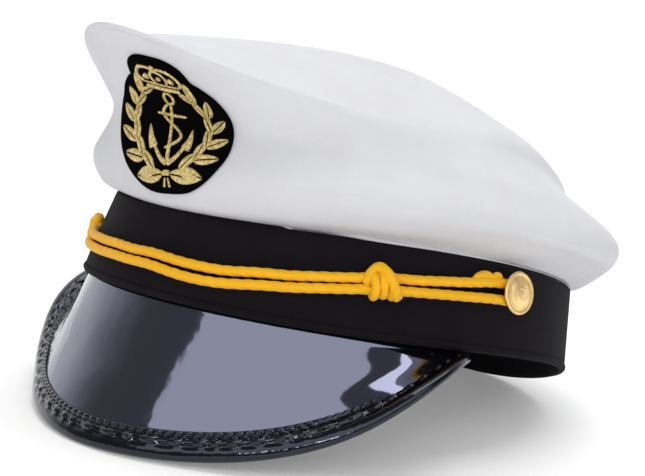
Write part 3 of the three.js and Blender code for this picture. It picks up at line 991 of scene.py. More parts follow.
@dataclass
class Peak(SubAssembly):
    """The glossy sheet in front, and the stitched tape folded over its outer edge."""

    stations: int = 220
    rows: int = 40
    edge_reach: float = 0.9
    tape_width: float = 8.5
    tape_taper: float = 0.55
    tape_stations: int = 860
    tape_points: int = 72
    pucker: float = 7.6
    stitch: float = 3.4
    thread: float = 0.26
    thread_seat: Range = (6.5, 0.72)
    thread_facets: int = 8
    sheet_wave: float = 0.22

    # What the stitches raise or press in the tape: each row's height, place in from the edge and width, in mm
    lumps: Triple = (0.55, 4.5, 1.35)
    nips: Triple = (0.26, 7.6, 0.8)
    dents: Triple = (-0.3, 6.4, 0.5)
    swell: Triple = (0.12, 1.2, 2.4)
    beneath: Triple = (0.12, 6.6, 1.2)

    # How unevenly the puckers follow each other: sines, each with its height and length in mm and its start
    drifts: tuple[Triple, ...] = ((1.7, 11, 0), (1.1, 4.7, 1), (0.5, 2.3, 0))

    # The tape's section from its inner edge on top, over the sheet's edge and back below: how far in from the
    # edge, and height above the sheet's top face, in mm
    section: tuple[Range, ...] = (
        (8.5, 0.25),
        (8.3, 0.80),
        (7.8, 1.05),
        (7.1, 0.95),
        (6.5, 0.55),
        (5.9, 0.95),
        (5.2, 1.45),
        (4.4, 1.50),
        (3.7, 1.05),
        (3.2, 1.20),
        (2.2, 1.55),
        (1.0, 1.50),
        (-0.2, 1.15),
        (-0.9, 0.55),
        (-1.2, -0.40),
        (-1.0, -1.25),
        (-0.2, -1.80),
        (1.2, -2.05),
        (3.6, -2.00),
        (6.2, -1.95),
        (8.2, -1.85),
        (8.5, -1.50),
        (8.4, -1.05),
        (4.0, -1.03),
        (0.2, -1.03),
        (0.2, 0.06),
        (4.0, 0.06),
        (8.3, 0.06),
    )

    def places(self, count: int, reach: float) -> Array:
        """Places along the peak, gathered towards its ends: one minus the cube of what is left."""
        half = 1 - (1 - np.linspace(0, reach, count // 2 + 1)) ** 3
        return np.concatenate([-half[:0:-1], half])

    def build_sheet(self) -> Piece:
        """Builds the sheet: tucked up inside the band, down its face to the edge, and back below."""
        form = self.form
        along = self.places(self.stations, self.edge_reach)[:, None]
        share = np.linspace(0, 1, self.rows)[None, :]
        face = form.peak_point(along, share)
        normal = form.peak_normal(along, np.maximum(share, 0.02))
        waves = np.sin(along * 17 + share * 5) * np.sin(along * 9 - share * 7 + 1.0)
        face = face + normal * column(self.sheet_wave * waves * np.sin(math.pi * share))
        below = form.peak_point(along, share[:, ::-1]) - normal[:, ::-1] * form.peak_wall
        angle = along[:, 0] * math.radians(form.peak_half_span_deg)
        rise = unit(form.band_point(angle, 1.0) - form.band_point(angle, 0.0)) * form.peak_tuck
        back = form.outward(angle) * form.peak_wall
        tucked = (face[:, 0] + rise)[:, None]
        inside = [(face[:, 0] - back)[:, None], tucked - back[:, None]]
        grid = capped(np.concatenate([tucked, face, below[:, :-1], *inside], axis=1))
        slots = np.r_[np.zeros(self.rows, int), np.ones(self.rows + 2, int)]
        length = np.append(run(grid[len(grid) // 2]), form.peak_length * 3)
        around = run(grid[:, self.rows // 2])
        work = Patchwork()
        work.add(grid, flat_map(around, length), (False, True), slot=slots[None, :])
        dress = [self.finishes.patent, self.finishes.backing]
        return self.settle(work, "peak_vinyl", dress, "black_vinyl", ["peak"])

    def edge_frame(self) -> tuple[Array, Array, Array, Array, Array]:
        """Stations at equal lengths along the sheet's outer edge.

        Returns:
            Edge points, ways inwards in the sheet, ways out of it, lengths so far, and the tape's width as
            shares of its full one, since it narrows where the sheet does.
        """
        form = self.form
        fine = self.places(4000, 0.86)
        length = run(form.peak_point(fine, np.ones_like(fine)))
        at = np.linspace(0, length[-1], self.tape_stations)
        along = np.interp(at, length, fine)
        edge = form.peak_point(along, np.ones_like(along))
        way = unit(np.gradient(edge, axis=0))
        normal = form.peak_normal(along, np.ones_like(along))
        inwards = unit(np.cross(normal, way))
        root, _, reach = form.peak_ray(along)
        inwards *= np.sign((inwards * (root - edge)).sum(axis=-1, keepdims=True))
        wide = np.minimum(self.tape_width, reach * self.tape_taper) / self.tape_width
        return edge, inwards, normal, at, wide

    def build_tape(self) -> Piece:
        """Builds the tape: its section carried along the edge, puckered by its stitches. The puckers are
        sines of the length along the edge, slanted by the place across, and strongest on the seam."""
        edge, inwards, normal, at, wide = self.edge_frame()
        profile = even(np.array(self.section), self.tape_points, closed=True)
        across, lift = profile[None, :, 0], profile[None, :, 1]
        s = at[:, None]
        drift = sum(height * np.sin(s / long + start) for height, long, start in self.drifts)
        slant = TURN * (s + 0.5 * across + drift) / self.pucker

        def row(place: Triple) -> Array:
            """The height of a row of marks across the tape: a bell round its place."""
            return place[0] * bump_at(across, *place[1:])

        lumps = row(self.lumps) * np.maximum(np.cos(slant), -0.45)
        nips = row(self.nips) * np.cos(TURN * (s - 0.8 * across) / self.stitch)
        dents = row(self.dents) * np.maximum(np.cos(TURN * s / self.stitch), 0) ** 4
        swell = row(self.swell) * np.sin(s / 5.3 + 0.7)
        beneath = row(self.beneath) * np.cos(TURN * s / self.stitch)
        above = np.where(lift > 0.1, lumps + nips + dents + swell, 0.0)
        lift = lift + above + np.where(lift < -1.5, beneath, 0.0)
        inward = np.where(across > 0, across * wide[:, None], across)
        grid = edge[:, None] + inwards[:, None] * column(inward) + normal[:, None] * column(lift)
        grid = capped(grid)
        length = run(np.concatenate([profile, profile[:1]]))
        work = Patchwork()
        work.add(grid, flat_map(np.r_[0.0, at, at[-1]], length), (False, True))
        dress = [self.finishes.tape]
        return self.settle(work, "binding_tape", dress, "vinyl_edge", ["peak_binding"], flatten=True)

    def build_stitches(self) -> Piece:
        """Builds the row of stitches in the tape's groove: short beads of thread, thick in the middle."""
        edge, inwards, normal, at, wide = self.edge_frame()
        starts = np.arange(self.stitch / 2, at[-1], self.stitch)
        local = np.linspace(-0.36, 0.36, 7) * self.stitch
        turn = full_turn(self.thread_facets)
        seat_in, seat_up = self.thread_seat
        work = Patchwork()
        for start in starts:
            there = start + self.stitch / 2 + local

            def read(values: Array, at_places: Array = there) -> Array:
                """Values at the stitch's stations."""
                return np.stack([np.interp(at_places, at, each) for each in values.T], axis=-1)

            width = np.interp(there, at, wide)
            thick = self.thread * np.sqrt(np.maximum(1 - (local / local[-1]) ** 2, 0))
            middle = read(edge) + read(inwards) * column(seat_in * width) + read(normal) * seat_up
            ring = read(inwards)[:, None] * column(np.cos(turn))
            ring = ring + read(normal)[:, None] * column(np.sin(turn))
            work.add(middle[:, None] + ring * column(thick[:, None]), wrap=(False, True))
        return self.settle(work, "binding_stitches", [self.finishes.thread], "vinyl_edge", [])


@dataclass
class Cord(SubAssembly):
    """The gold cord: two strands across the front that loop round the buttons, with a knot on each side."""

    diameter: float = 3.4
    seat: float = 0.15
    plies: int = 3
    pitch: float = 13.5
    furrow: float = 0.17
    bow_lift: float = 1.428
    bow_radius: float = 1.496
    bow_stations: int = 34
    bow_taper: float = 6.0
    knot_deg: float = 51.0
    knot_start: float = 0.6
    knot_tall: float = 3.75
    knot_deep: float = 2.7
    knot_back: float = 3.9
    knot_turns: float = 2.6
    knot_long: float = 7.6
    knot_strand: float = 1.55
    strap_strand: float = 1.75
    facets: int = 27
    step: float = 0.7

    # The cord's route between the buttons: along, height of its middle, half the gap of its strands, both as
    # shares of the band's height
    route: tuple[Triple, ...] = (
        (-1.0, 0.64, 0.092),
        (-0.8, 0.53, 0.07),
        (-0.625, 0.4, 0.06),
        (-0.3, 0.375, 0.064),
        (0.0, 0.388, 0.066),
        (0.18, 0.354, 0.073),
        (0.36, 0.42, 0.064),
        (0.625, 0.556, 0.06),
        (0.8, 0.62, 0.07),
        (1.0, 0.687, 0.092),
    )

    # How unevenly the strands lie: height as a share of the band's, pace and start of each wave
    sway: tuple[Triple, ...] = ((0.004, 23, 0), (0.003, 41, 1))
    lower_sway: float = 0.5

    # The bow of slack beside each button: along, and height as a share of the band's
    bow: tuple[Range, ...] = (
        (0.862, 0.73),
        (0.882, 0.80),
        (0.905, 0.825),
        (0.925, 0.80),
        (0.94, 0.84),
        (0.962, 0.80),
    )

    # The strap over each knot: along, up and out from the knot's middle, in mm
    strap: tuple[Triple, ...] = (
        (-5.6, -0.6, 0.6),
        (-4.4, 2.6, 1.4),
        (-2.4, 5.0, 1.9),
        (-0.2, 4.4, 3.3),
        (1.8, 1.2, 4.3),
        (3.4, -2.2, 3.4),
        (4.6, -4.0, 1.2),
        (5.6, -2.6, 0.2),
    )

    def route_value(self, name: int, along: Array) -> Array:
        """One column of the route, smooth between its rows."""
        rows = np.array(self.route)
        last = len(rows) - 1
        row = np.clip(np.searchsorted(rows[:, 0], along, side="right") - 1, 0, last - 1)
        share = (along - rows[row, 0]) / (rows[row + 1, 0] - rows[row, 0])
        near = np.clip(row[..., None] + np.arange(-1, 3), 0, last)
        return (basis(share) * rows[near, name]).sum(axis=-1)

    def lie(self, along: Array, rise: Array, lift: Array | float) -> Array:
        """Points over the band, a share up its height and a lift out of its face."""
        angle = along * math.radians(self.form.button_deg)
        return self.form.band_point(angle, rise) + self.form.band_normal(angle) * column(lift)

    def loop(self) -> Array:
        """The cord's middle line as one closed loop: the upper strand, a half turn round the left shank, the
        lower strand back, and a half turn round the right one.

        Returns:
            Points in mm.
        """
        lift = self.diameter / 2 + self.seat
        turn = (self.form.button_shank + self.diameter) / 2 + self.form.clearance
        stop = 1 - 2 * turn / (self.form.half_width * math.radians(self.form.button_deg))
        along = np.linspace(-stop, stop, 160)
        middle, spread = self.route_value(1, along), self.route_value(2, along)
        wave = sines(along, self.sway)
        upper = self.lie(along, middle + spread + wave, lift)
        lower = self.lie(along, middle - spread + wave * self.lower_sway, lift)[::-1]
        bends = np.linspace(math.pi / 2, -math.pi / 2, 14)
        left, right = (self.turn_round(end, bends, turn, lift) for end in (1, -1))
        return np.concatenate([upper, left, lower, right])

    def turn_round(self, end: int, bends: Array, radius: float, lift: float) -> Array:
        """Half a circle round a button's shank, flat on the band.

        Args:
            end: 1 for the wearer's left button and -1 for the right one.
            bends: angles round the shank, in radians.
            radius: the half circle's radius in mm.
            lift: height of its points out of the band, in mm.

        Returns:
            Points in mm.
        """
        angle = np.array(end * math.radians(self.form.button_deg))
        normal = self.form.band_normal(angle)
        across = unit(np.cross(np.array([0.0, 0.0, 1.0]), normal)) * end
        rise = unit(np.cross(normal, across)) * end
        middle = self.lie(np.array(float(end)), self.route_value(1, np.array(float(end))), lift)
        round_it = across * column(np.cos(bends)) + rise * column(end * np.sin(bends))
        return middle + radius * round_it

    def strand(self, work: Patchwork, line: Array, outs: Array, radius: Array | float, closed: bool) -> None:
        """Adds a twisted strand: round a line, its radius dips between plies that turn with the length.

        Args:
            work: gathers the grid.
            line: evenly spaced points of its middle line.
            outs: directions away from what it lies on, one for each point.
            radius: its radius, one value or one for each point.
            closed: whether the line is a closed loop.
        """
        if closed:
            way = unit(np.roll(line, -1, axis=0) - np.roll(line, 1, axis=0))
        else:
            way = unit(np.gradient(line, axis=0))
        side = unit(np.cross(way, outs))
        out = np.cross(side, way)
        length = run(line)[:, None]
        if closed:
            turns = round(length[-1, 0] / self.pitch)
            twist = TURN * turns * length / (length[-1, 0] + np.linalg.norm(line[0] - line[-1]))
        else:
            twist = TURN * length / self.pitch
        turn = full_turn(self.facets)[None, :]
        lobe = np.abs(np.cos(self.plies / 2 * (turn - twist)))
        size = np.broadcast_to(np.asarray(radius, float), (len(line),))[:, None]
        reach = size * (1 - self.furrow * (1 - lobe) ** 1.4)
        grid = line[:, None] + out[:, None] * column(reach * np.cos(turn))
        grid = grid + side[:, None] * column(reach * np.sin(turn))
        lay = vector(length + 0 * turn, size * np.cos(turn - twist), size * np.sin(turn - twist))
        work.add(grid, wrap=(closed, True), lay=lay)

    def build_strands(self) -> Piece:
        """Builds the closed cord, and a bow of slack that shows above the strand beside each button."""
        raw = self.loop()
        count = int(run(raw)[-1] / self.step)
        line = even(raw, count, closed=True)
        work = Patchwork()
        outs = self.outs(line)
        self.strand(work, line, outs, self.diameter / 2, True)
        for end in (1, -1):
            bow = np.array(self.bow)
            bow[:, 1] += self.route[-1 if end > 0 else 0][1] - self.route[-1][1]
            smooth = catmull(bow, np.linspace(0, 1, 60))
            path = even(self.lie(end * smooth[:, 0], smooth[:, 1], self.bow_lift), self.bow_stations)
            ends = np.linspace(0, self.bow_taper, self.bow_stations)
            radius = self.bow_radius * np.sqrt(np.clip(np.minimum(ends, ends[::-1]), 0, 1))
            self.strand(work, path, self.outs(path), radius, False)
        made = self.settle(work, "cord_strands", [self.finishes.cord], "gold_cord", ["cord"])
        log.info("cord: %.3f m in one loop", run(raw)[-1] * MM)
        return made

    def outs(self, line: Array) -> Array:
        """Directions out of the band beside each point of a line."""
        angle = np.arctan2(line[:, 0] / self.form.half_width, -line[:, 1] / self.form.half_length)
        return self.form.band_normal(angle)

    def build_knot(self, side: Side) -> Piece:
        """Builds a knot: two and a half turns of the cord round both strands, and a strap that crosses them.

        Args:
            side: the wearer's side.

        Returns:
            The piece.
        """
        along = np.array([-0.02, 0.0, 0.02]) + side.value * self.knot_deg / self.form.button_deg
        middles = self.lie(along, self.route_value(1, along), self.diameter / 2 + self.seat)
        middle = middles[1]
        normal = self.form.band_normal(along[1] * math.radians(self.form.button_deg))
        way = unit(middles[2] - middles[0]) * side.value
        rise = unit(np.cross(normal, way)) * side.value
        work = Patchwork()
        t = np.linspace(0, 1, 120)
        turn = TURN * self.knot_turns * t + self.knot_start
        tall = self.knot_tall + 0.35 * np.sin(7 * t)
        wound = (
            middle
            + way * column(self.knot_long * t - self.knot_back + 0.5 * np.sin(turn))
            + rise * column(tall * np.cos(turn))
            + normal * column(0.4 + self.knot_deep * np.sin(turn))
        )
        self.add_end(work, even(wound, 110), middle, self.knot_strand)
        curve = even(catmull(np.array(self.strap), np.linspace(0, 1, 90)), 60)
        path = middle + way * curve[:, :1] + rise * curve[:, 1:2] + normal * curve[:, 2:]
        self.add_end(work, path, middle, self.strap_strand)
        name = "knot_wrap_" + side.name.lower()
        return self.settle(work, name, [self.finishes.cord], "gold_cord", ["knot_" + side.name.lower()])

    def add_end(self, work: Patchwork, path: Array, middle: Array, radius: float) -> None:
        """Adds an open length of strand whose ends round off to a point."""
        ends = np.minimum(np.arange(len(path)), np.arange(len(path))[::-1]) / 3
        self.strand(work, path, unit(path - middle), radius * np.sqrt(np.clip(ends, 0, 1)), False)


@dataclass
class Button(SubAssembly):
    """A domed gilt button on a shank, with a rim, a ring and a faint worn anchor."""

    side: Side = Side.LEFT
    diameter: float = 14.8
    rim: float = 1.4
    dome: float = 1.7
    back: float = 3.9
    spokes: int = 120
    relief: float = 0.16

    def anchor(self, x: Array, y: Array) -> Array:
        """A worn anchor in relief: the greatest of soft strokes for its shank, stock, ring and arms.

        Args:
            x: places across, in mm.
            y: places up, in mm.

        Returns:
            Heights from 0 to 1.
        """

        def stroke(distance: Array) -> Array:
            """A soft ridge along a line, from the distance to it."""
            return np.clip(1.25 - distance / 0.42, 0, 1)

        shank = stroke(np.hypot(x, np.maximum(np.abs(y - 0.1) - 2.5, 0)))
        stock = stroke(np.hypot(np.maximum(np.abs(x) - 1.5, 0), y - 1.5))
        ring = stroke(np.abs(np.hypot(x, y - 3.2) - 0.65))
        bend = np.arctan2(x, -(y + 0.1))
        arms = stroke(np.abs(np.hypot(x, y + 0.1) - 2.5) + 2 * np.maximum(np.abs(bend) - 1.15, 0))
        return np.max(np.stack([shank, stock, ring, arms]), axis=0)

    def build(self) -> Piece:
        """Builds the button where the cord's route ends: its profile turned about its axis, with relief."""
        radius, rim, shank = self.diameter / 2, self.rim, self.form.button_shank / 2
        face = self.back + rim * 0.8
        profile = np.array(
            [
                (0.0, 0.3),
                (shank, 0.3),
                (shank, self.back - 0.2),
                (shank + 0.3, self.back),
                (radius - 1.1, self.back),
                (radius - 0.35, self.back + 0.15),
                (radius, self.back + rim * 0.5),
                (radius - 0.3, self.back + rim * 0.9),
                (radius - 0.75, self.back + rim),
                (radius - 1.15, self.back + rim * 0.86),
                (radius - 1.4, face - 0.12),
                (radius - 1.75, face + 0.05),
                (radius - 2.1, face + 0.22),
                (radius - 2.45, face + 0.15),
            ]
        )
        inner = np.linspace(radius - 2.7, 0, 40)
        crown = face + 0.25 + self.dome * (1 - (inner / (radius - 2.4)) ** 2) * 0.85
        profile = np.concatenate([profile, np.stack([inner, crown], axis=-1)])
        turn = full_turn(self.spokes)[:, None]
        out, up = profile[None, :, 0], profile[None, :, 1]
        x, y = out * np.cos(turn), out * np.sin(turn)
        mark = self.relief * self.anchor(x, y) * (out < radius - 2.6) * (up > self.back)
        ring = 0.07 * np.cos(26 * turn) * bump_at(out, radius - 2.1, 0.35) * (up > self.back)
        height = up + mark + ring
        angle = np.array(self.side.value * math.radians(self.form.button_deg))
        share = Cord.route[-1 if self.side is Side.LEFT else 0][1]
        normal = self.form.band_normal(angle)
        across = unit(np.cross(np.array([0.0, 0.0, 1.0]), normal))
        upright = np.cross(normal, across)
        foot = self.form.band_point(angle, share)
        grid = foot + across * column(x) + upright * column(y) + normal * column(height)
        work = Patchwork()
        work.add(grid, wrap=(True, False))
        side = self.side.name.lower()
        return self.settle(work, "gilt_button_" + side, [self.finishes.gilt], "gilt", ["button_" + side])


@dataclass
class Badge(SubAssembly):
    """The black felt patch on the crown's front, with a crown, an anchor and a wreath in gold embroidery."""

    width: float = 48.5
    height: float = 46.0
    thickness: float = 1.8
    patch_shift: Range = (-1.4, 0.5)
    rise: float = 27.0
    shift: float = 2.65
    spread: float = 1.118
    lean: float = 0.215
    tilt: float = 0.071
    spokes: int = 192
    rings: int = 30
    pile: float = 0.55
    edge_share: float = 0.94
    edge_fall: float = 0.75
    seat: float = 0.4

    # The patch's outline from its top down one half: across and up, as shares of half its width and height
    outline: tuple[Range, ...] = (
        (0.0, 1.0),
        (0.27, 0.99),
        (0.44, 0.91),
        (0.5, 0.79),
        (0.53, 0.71),
        (0.66, 0.66),
        (0.84, 0.53),
        (0.97, 0.27),
        (1.0, -0.05),
        (0.94, -0.42),
        (0.74, -0.76),
        (0.42, -0.96),
        (0.0, -1.0),
    )

    def on_crown(self, across: Array, up: Array, lift: Array | float) -> Array:
        """Points over the crown's front: the length up its front line gives the share, and the length across
        gives the angle. The badge leans a little, as it is sewn by hand.

        Args:
            across: mm towards the wearer's left.
            up: mm up from the badge's middle.
            lift: mm out of the crown's face.

        Returns:
            Points in mm.
        """
        share = np.linspace(0.1, 0.62, 200)
        line = self.form.crown_point(np.zeros_like(share), share)
        base = self.form.band_point(np.array(0.0), np.array(1.0))[2]
        length = run(line)
        length -= np.interp(base + self.rise, line[:, 2], length)
        turned = self.shift + self.spread * across - self.lean * up
        risen = up + self.tilt * across
        angle = turned / np.abs(np.interp(risen, length, line[:, 1]))
        place = np.interp(risen, length, share)
        return self.form.crown_point(angle, place, lift + self.form.flattened(angle, place))

    def build_patch(self) -> Piece:
        """Builds the patch: rings of its outline from the middle out, over a rounded edge and back below."""
        half = np.array(self.outline) * [self.width / 2, self.height / 2]
        whole = np.concatenate([half, half[-2:0:-1] * [-1, 1]])
        smooth = catmull(whole, np.linspace(0, 1, 720, endpoint=False), closed=True)
        edge = even(smooth, self.spokes, closed=True)
        shares = 1 - (1 - np.linspace(0, 1, self.rings)) ** 1.6
        top = self.form.clearance + self.thickness
        beyond = np.clip((shares - self.edge_share) / (1 - self.edge_share), 0, 1)
        fall = top - self.edge_fall * beyond**2
        ring = np.concatenate([shares, [1.012, 1.008], shares[::-1]])
        lift = np.concatenate([fall, [top - 1.2, 0.3], np.full(self.rings, -0.3)])
        flat = edge[:, None] * ring[None, :, None] + np.array(self.patch_shift)
        grid = self.on_crown(flat[..., 0], flat[..., 1], np.broadcast_to(lift, flat.shape[:2]))
        work = Patchwork()
        work.add(grid, wrap=(True, True))
        return self.settle(work, "badge_patch", [self.finishes.felt], "black_felt", ["badge"])

    def stroke(self, work: Patchwork, path: Array, half_width: Array, pile: float, count: int = 26) -> None:
        """Adds a pillow of stitches along a path on the patch: half an ellipse across, tapering by its width.

        Args:
            work: gathers the grid.
            path: points across and up, in mm.
            half_width: half its width at equal steps along it, in mm.
            pile: how far it stands out of the patch, in mm.
            count: stations along it.
        """
        share = np.linspace(0, 1, count)
        line = even(catmull(np.asarray(path, float), np.linspace(0, 1, 8 * count)), count)
        half_width = np.asarray(half_width, float)
        half = np.interp(share, np.linspace(0, 1, len(half_width)), half_width)
        half = half * np.sqrt(np.clip(np.minimum(share, 1 - share) / 0.04, 0, 1))
        way = np.gradient(line, axis=0)
        side = np.stack([-way[:, 1], way[:, 0]], axis=-1)
        side /= np.maximum(np.linalg.norm(side, axis=-1, keepdims=True), 1e-9)
        turn = np.linspace(0, math.pi, 9)
        across = np.concatenate([np.cos(turn), [-1.0, 1.0]])
        lift = np.concatenate([pile * np.sin(turn), [-self.seat, -self.seat]])
        flat = line[:, None] + side[:, None] * (across[None, :, None] * half[:, None, None])
        thin = np.sqrt(np.clip(half / 0.5, 0, 1))[:, None]
        high = self.form.clearance + self.thickness + lift[None, :] * thin
        grid = self.on_crown(flat[..., 0], flat[..., 1], high)
        length = run(line)
        width = np.concatenate([np.cos(turn), [-1.4, 1.4, 1.0]])[None, :] * half[:, None]
        uv = np.stack([np.broadcast_to(length[:, None], width.shape), width], axis=-1)
        work.add(grid, uv, (False, True))

    def pair(self, work: Patchwork, path: list, half_width: list, pile: float, count: int) -> None:
        """Adds a stroke on the wearer's left and the same one mirrored on the right."""
        for side in Side:
            self.stroke(work, np.array(path) * [side.value, 1], half_width, pile, count)

    def leaf(self, work: Patchwork, foot: Array, angle: float, long: float, wide: float) -> None:
        """Adds a leaf as two halves with a gap along its rib; its width follows the sine of the way along.

        Args:
            work: gathers the grids.
            foot: where it starts, across and up, in mm.
            angle: the way it points, in radians from across towards up.
            long: its length in mm.
            wide: its whole width in mm.
        """
        t = np.linspace(0, 1, 12)
        way = np.array([math.cos(angle), math.sin(angle)])
        side = np.array([-way[1], way[0]])
        half = wide / 2 * np.sin(math.pi * t**0.85) ** 0.8
        gap = 0.13
        for sign in (1, -1):
            path = foot + way * (t * long)[:, None] + side * (sign * (half / 2 + gap))[:, None]
            self.stroke(work, path, np.maximum(half / 2 - gap / 2, 0.02), self.pile, 16)

    def wreath(self, work: Patchwork, side: Side) -> None:
        """Adds one branch: a stem on an oval, with a leaf outside and inside it at each step, that shrink and
        turn upwards towards its tip.

        Args:
            work: gathers the grids.
            side: which branch.
        """
        sign = side.value
        reach = np.array([16.2, 15.8])
        middle = np.array([0.0, -0.6])
        turns = np.radians(np.linspace(-69, 44, 6))
        spine = np.radians(np.linspace(-86, 50, 16))
        oval = middle + reach * np.stack([np.cos(spine), np.sin(spine)], axis=-1)
        self.stroke(work, oval * [sign, 1], [0.35, 0.3, 0.22], self.pile * 0.7, 40)
        for i, turn in enumerate(turns):
            foot = middle + reach * np.array([math.cos(turn), math.sin(turn)])
            tangent = math.atan2(reach[1] * math.cos(turn), -reach[0] * math.sin(turn))
            size = 1.0 - 0.04 * i
            for lean, long, wide in ((-0.6, 9.6, 3.9), (0.42, 8.4, 3.1)):
                angle = tangent + lean
                if sign < 0:
                    angle = math.pi - angle
                self.leaf(work, foot * [sign, 1], angle, long * size, wide * size)

    def build_embroidery(self) -> Piece:
        """Builds the gold work as one mesh of pillows: wreath, tie, anchor with its rope, and crown."""
        work = Patchwork()
        for side in Side:
            self.wreath(work, side)
            sign = side.value
            angle = -0.12 if sign > 0 else math.pi + 0.12
            self.leaf(work, np.array([sign * 1.8, -16.6]), angle, 12.4, 4.4)
        self.pair(work, [(0.6, -17.6), (1.0, -19.0), (1.3, -20.6)], [0.3, 0.5], 0.4, 10)
        self.stroke(work, [(-1.6, -16.4), (0.0, -16.2), (1.6, -16.4)], [0.8, 0.9, 0.8], 0.7, 14)
        self.anchor(work)
        self.crown(work)
        return self.settle(work, "badge_embroidery", [self.finishes.gold], "gilt", [])

    def anchor(self, work: Patchwork) -> None:
        """Adds the anchor: ring, stock, shank, arms with flukes, and a rope that winds down its shank."""
        turn = np.linspace(0, TURN, 25)
        ring = np.stack([1.9 * np.sin(turn), 9.4 + 2.1 * np.cos(turn)], axis=-1)
        self.stroke(work, ring, np.full(5, 0.52), 0.5, 40)
        self.stroke(work, [(0.0, 7.2), (0.0, 0.0), (0.0, -12.6)], [0.5, 0.55, 0.8], 0.55, 40)
        self.stroke(work, [(-6.3, 3.3), (0.0, 3.1), (6.3, 3.3)], [0.45, 0.6, 0.45], 0.5, 24)
        arm = [(0.0, -13.4), (3.0, -11.9), (6.0, -8.6), (7.8, -5.0)]
        self.pair(work, arm, [1.0, 0.75, 0.6, 0.5], 0.55, 30)
        fluke = [(6.9, -8.6), (8.3, -5.4), (9.1, -0.8)]
        self.pair(work, fluke, [1.9, 1.6, 1.1, 0.6, 0.1], 0.6, 24)
        t = np.linspace(0, 1, 40)
        rope = np.stack([-(2.9 + 2.4 * t) * np.sin(TURN * 1.02 * t + 0.25), 7.4 - 16.0 * t], axis=-1)
        self.stroke(work, rope, np.full(5, 0.48), 0.75, 70)

    def crown(self, work: Patchwork) -> None:
        """Adds the crown above the wreath: a curved base, arches that meet at its top, and pearls."""
        self.stroke(work, [(-7.6, 13.6), (0.0, 13.0), (7.2, 13.6)], [0.7, 0.75, 0.7], 0.6, 30)
        self.stroke(work, [(-7.8, 15.1), (0.0, 14.5), (7.4, 15.1)], [0.3, 0.35, 0.3], 0.4, 30)
        outer = [(7.4, 14.9), (9.2, 17.6), (6.8, 20.3), (2.4, 20.8), (0.0, 19.6)]
        self.pair(work, outer, [0.5, 0.6, 0.5, 0.45], 0.5, 36)
        inner = [(2.2, 14.8), (3.2, 17.0), (2.3, 18.9), (0.0, 19.6)]
        self.pair(work, inner, [0.4, 0.45, 0.4], 0.5, 24)
        for side in Side:
            for across, up, radius in ((5.3, 17.1, 1.1), (9.0, 18.2, 0.55), (6.0, 20.9, 0.5)):
                self.pearl(work, side.value * across, up, radius)
        self.pearl(work, 0.0, 16.8, 0.8)
        self.pearl(work, 0.0, 21.0, 0.9)

    def pearl(self, work: Patchwork, across: float, up: float, radius: float) -> None:
        """Adds a round knot of stitches: a short stroke as wide as it is long."""
        half = radius * np.sqrt(1 - np.linspace(-1, 1, 15) ** 2)
        self.stroke(work, [(across - radius, up), (across, up), (across + radius, up)], half, 0.6, 15)


# Studio


@dataclass(frozen=True)
class Softbox:
    """A soft lamp: where it stands round the cap, its size in metres and its power in watts."""

    name: str
    azimuth_deg: float
    elevation_deg: float
    distance: float
    width: float
    height: float
    power: float

    def build(self, target: Array) -> None:
        """Hangs the lamp, facing the target.

        Args:
            target: what it faces, in metres.
        """
        back = aim(self.azimuth_deg, self.elevation_deg)
        data = bpy.data.lights.new(self.name, "AREA")
        data.shape = "RECTANGLE"
        data.size, data.size_y = self.width, self.height
        data.energy = self.power
        lamp = bpy.data.objects.new(self.name, data)
        lamp.location = target + back * self.distance
        side = unit(np.cross(np.array([0.0, 0.0, 1.0]), back))
        up = np.cross(back, side)
        lamp.rotation_euler = Matrix(np.stack([side, up, back], axis=1).tolist()).to_euler()
        link(lamp)


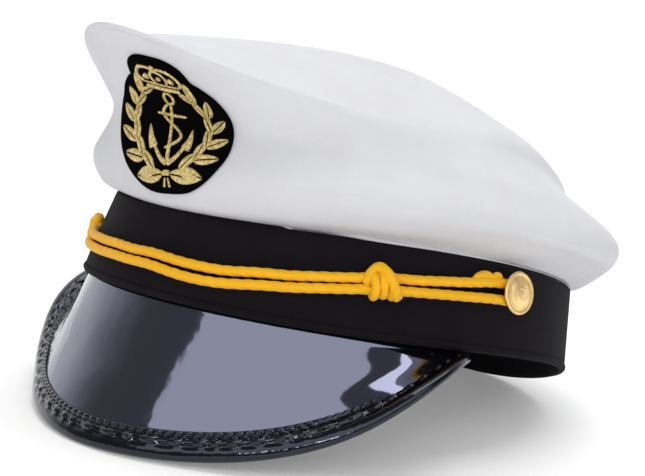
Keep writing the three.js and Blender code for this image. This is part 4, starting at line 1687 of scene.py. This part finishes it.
@dataclass
class Studio:
    """A pale floor, soft lamps, a pale surround and the camera."""

    rest: RestPose
    floor_size: float = 24.0
    floor: str = "#f2f2f2"
    floor_glow: float = 0.18
    far_glow: float = 0.75
    glow_reach: Range = (0.15, 1.6)
    surround: str = "#ffffff"
    surround_front: float = 0.2
    surround_back: float = 1.1
    surround_turn: Range = (-0.1, 0.75)
    azimuth_deg: float = 40.0
    elevation_deg: float = -0.6056
    roll_deg: float = 14.109
    distance: float = 500.0
    focal_px: float = 1276.8
    shift_px: Range = (14.81, -43.56)
    frame_px: float = 645.0
    sensor: float = 36.0
    lamps: tuple[Softbox, ...] = (
        Softbox("key_softbox", 42.0, 37.0, 1.5, 2.9, 0.86, 12.5),
        Softbox("top_softbox", 165.0, 82.0, 1.7, 1.3, 1.3, 19.0),
        Softbox("sparkle_lamp", 30.0, 16.0, 1.5, 0.16, 0.06, 1.6),
    )

    def build_camera(self) -> None:
        """Sets the camera in the hat's frame by its angles and roll, and lays it down with the cap."""
        roll = math.radians(self.roll_deg)
        back = aim(self.azimuth_deg, self.elevation_deg)
        right = aim(self.azimuth_deg + 90, 0.0)
        up = np.cross(back, right)
        level, rise = math.cos(roll), math.sin(roll)
        rolled = [level * right + rise * up, level * up - rise * right, back]
        turned = self.rest.matrix().to_3x3() @ Matrix(np.stack(rolled, axis=1).tolist())
        data = bpy.data.cameras.new("camera")
        data.sensor_width = self.sensor
        data.lens = self.focal_px * self.sensor / self.frame_px
        data.shift_x = -self.shift_px[0] / self.frame_px
        data.shift_y = -self.shift_px[1] / self.frame_px
        data.clip_start = 0.01
        camera = bpy.data.objects.new("camera", data)
        camera.matrix_world = Matrix.Translation(self.rest.place(back * self.distance)) @ turned.to_4x4()
        link(camera)
        bpy.context.scene.camera = camera

    def build_floor(self) -> None:
        """Lays the floor, a plain pale sheet that glows more the further it is from the cap."""
        half = self.floor_size / 2
        mesh = bpy.data.meshes.new("studio_floor")
        corners = [(-half, -half, 0), (half, -half, 0), (half, half, 0), (-half, half, 0)]
        mesh.from_pydata(corners, [], [(0, 1, 2, 3)])
        paper = Felt("matt_paper", self.floor, 0.9).make()
        shader = paper.node_tree.nodes["Principled BSDF"]
        shader.inputs["Emission Color"].default_value = linear(self.surround)
        tree = paper.node_tree
        where = add_node(tree, "ShaderNodeTexCoord").outputs["Object"]
        far = add_node(tree, "ShaderNodeVectorMath", {0: where}, operation="LENGTH").outputs["Value"]
        glow = remap(tree, far, self.glow_reach, (self.floor_glow, self.far_glow), smooth=True)
        tree.links.new(glow, shader.inputs["Emission Strength"])
        mesh.materials.append(paper)
        floor = bpy.data.objects.new("studio_floor", mesh)
        link(floor)

    def build_light(self) -> None:
        """Hangs the lamps and sets the surround: dim in front of the cap and white behind it, by the cosine
        of the angle from the way that the photo looks."""
        low, high = cad_box
        middle = np.array((low + high) / 2)
        for lamp in self.lamps:
            lamp.build(middle)
        world = bpy.data.worlds.new("studio")
        world.use_nodes = True
        ground = world.node_tree.nodes["Background"]
        ground.inputs["Color"].default_value = linear(self.surround)
        away = -aim(self.azimuth_deg, 0.0)
        tree = world.node_tree
        where = add_node(tree, "ShaderNodeTexCoord").outputs["Generated"]
        facing = add_node(tree, "ShaderNodeVectorMath", {0: where, 1: away}, operation="DOT_PRODUCT")
        levels = (self.surround_front, self.surround_back)
        strength = remap(tree, facing.outputs["Value"], self.surround_turn, levels, smooth=True)
        tree.links.new(strength, ground.inputs["Strength"])
        bpy.context.scene.world = world
        bpy.context.scene.view_settings.view_transform = "Standard"


def main() -> None:
    """Builds the studio and the cap, piece by piece, and logs the names of the cloth pieces."""
    logging.basicConfig(level=logging.INFO, format="%(message)s")
    form, rest, finishes = CapForm(), RestPose(), Finishes()
    shared = (form, rest, finishes)
    studio = Studio(rest)
    studio.build_camera()
    studio.build_floor()
    studio.build_light()
    band = Band(*shared).build()
    crown = Crown(*shared).build()
    peak = Peak(*shared)
    peak.build_sheet()
    peak.build_tape()
    peak.build_stitches()
    cord = Cord(*shared)
    cord.build_strands()
    for side in Side:
        cord.build_knot(side)
        Button(*shared, side=side).build()
    badge = Badge(*shared)
    badge.build_patch()
    badge.build_embroidery()
    log.info("cloth pieces: %s, %s", band.name, crown.name)


if __name__ == "__main__":
    main()
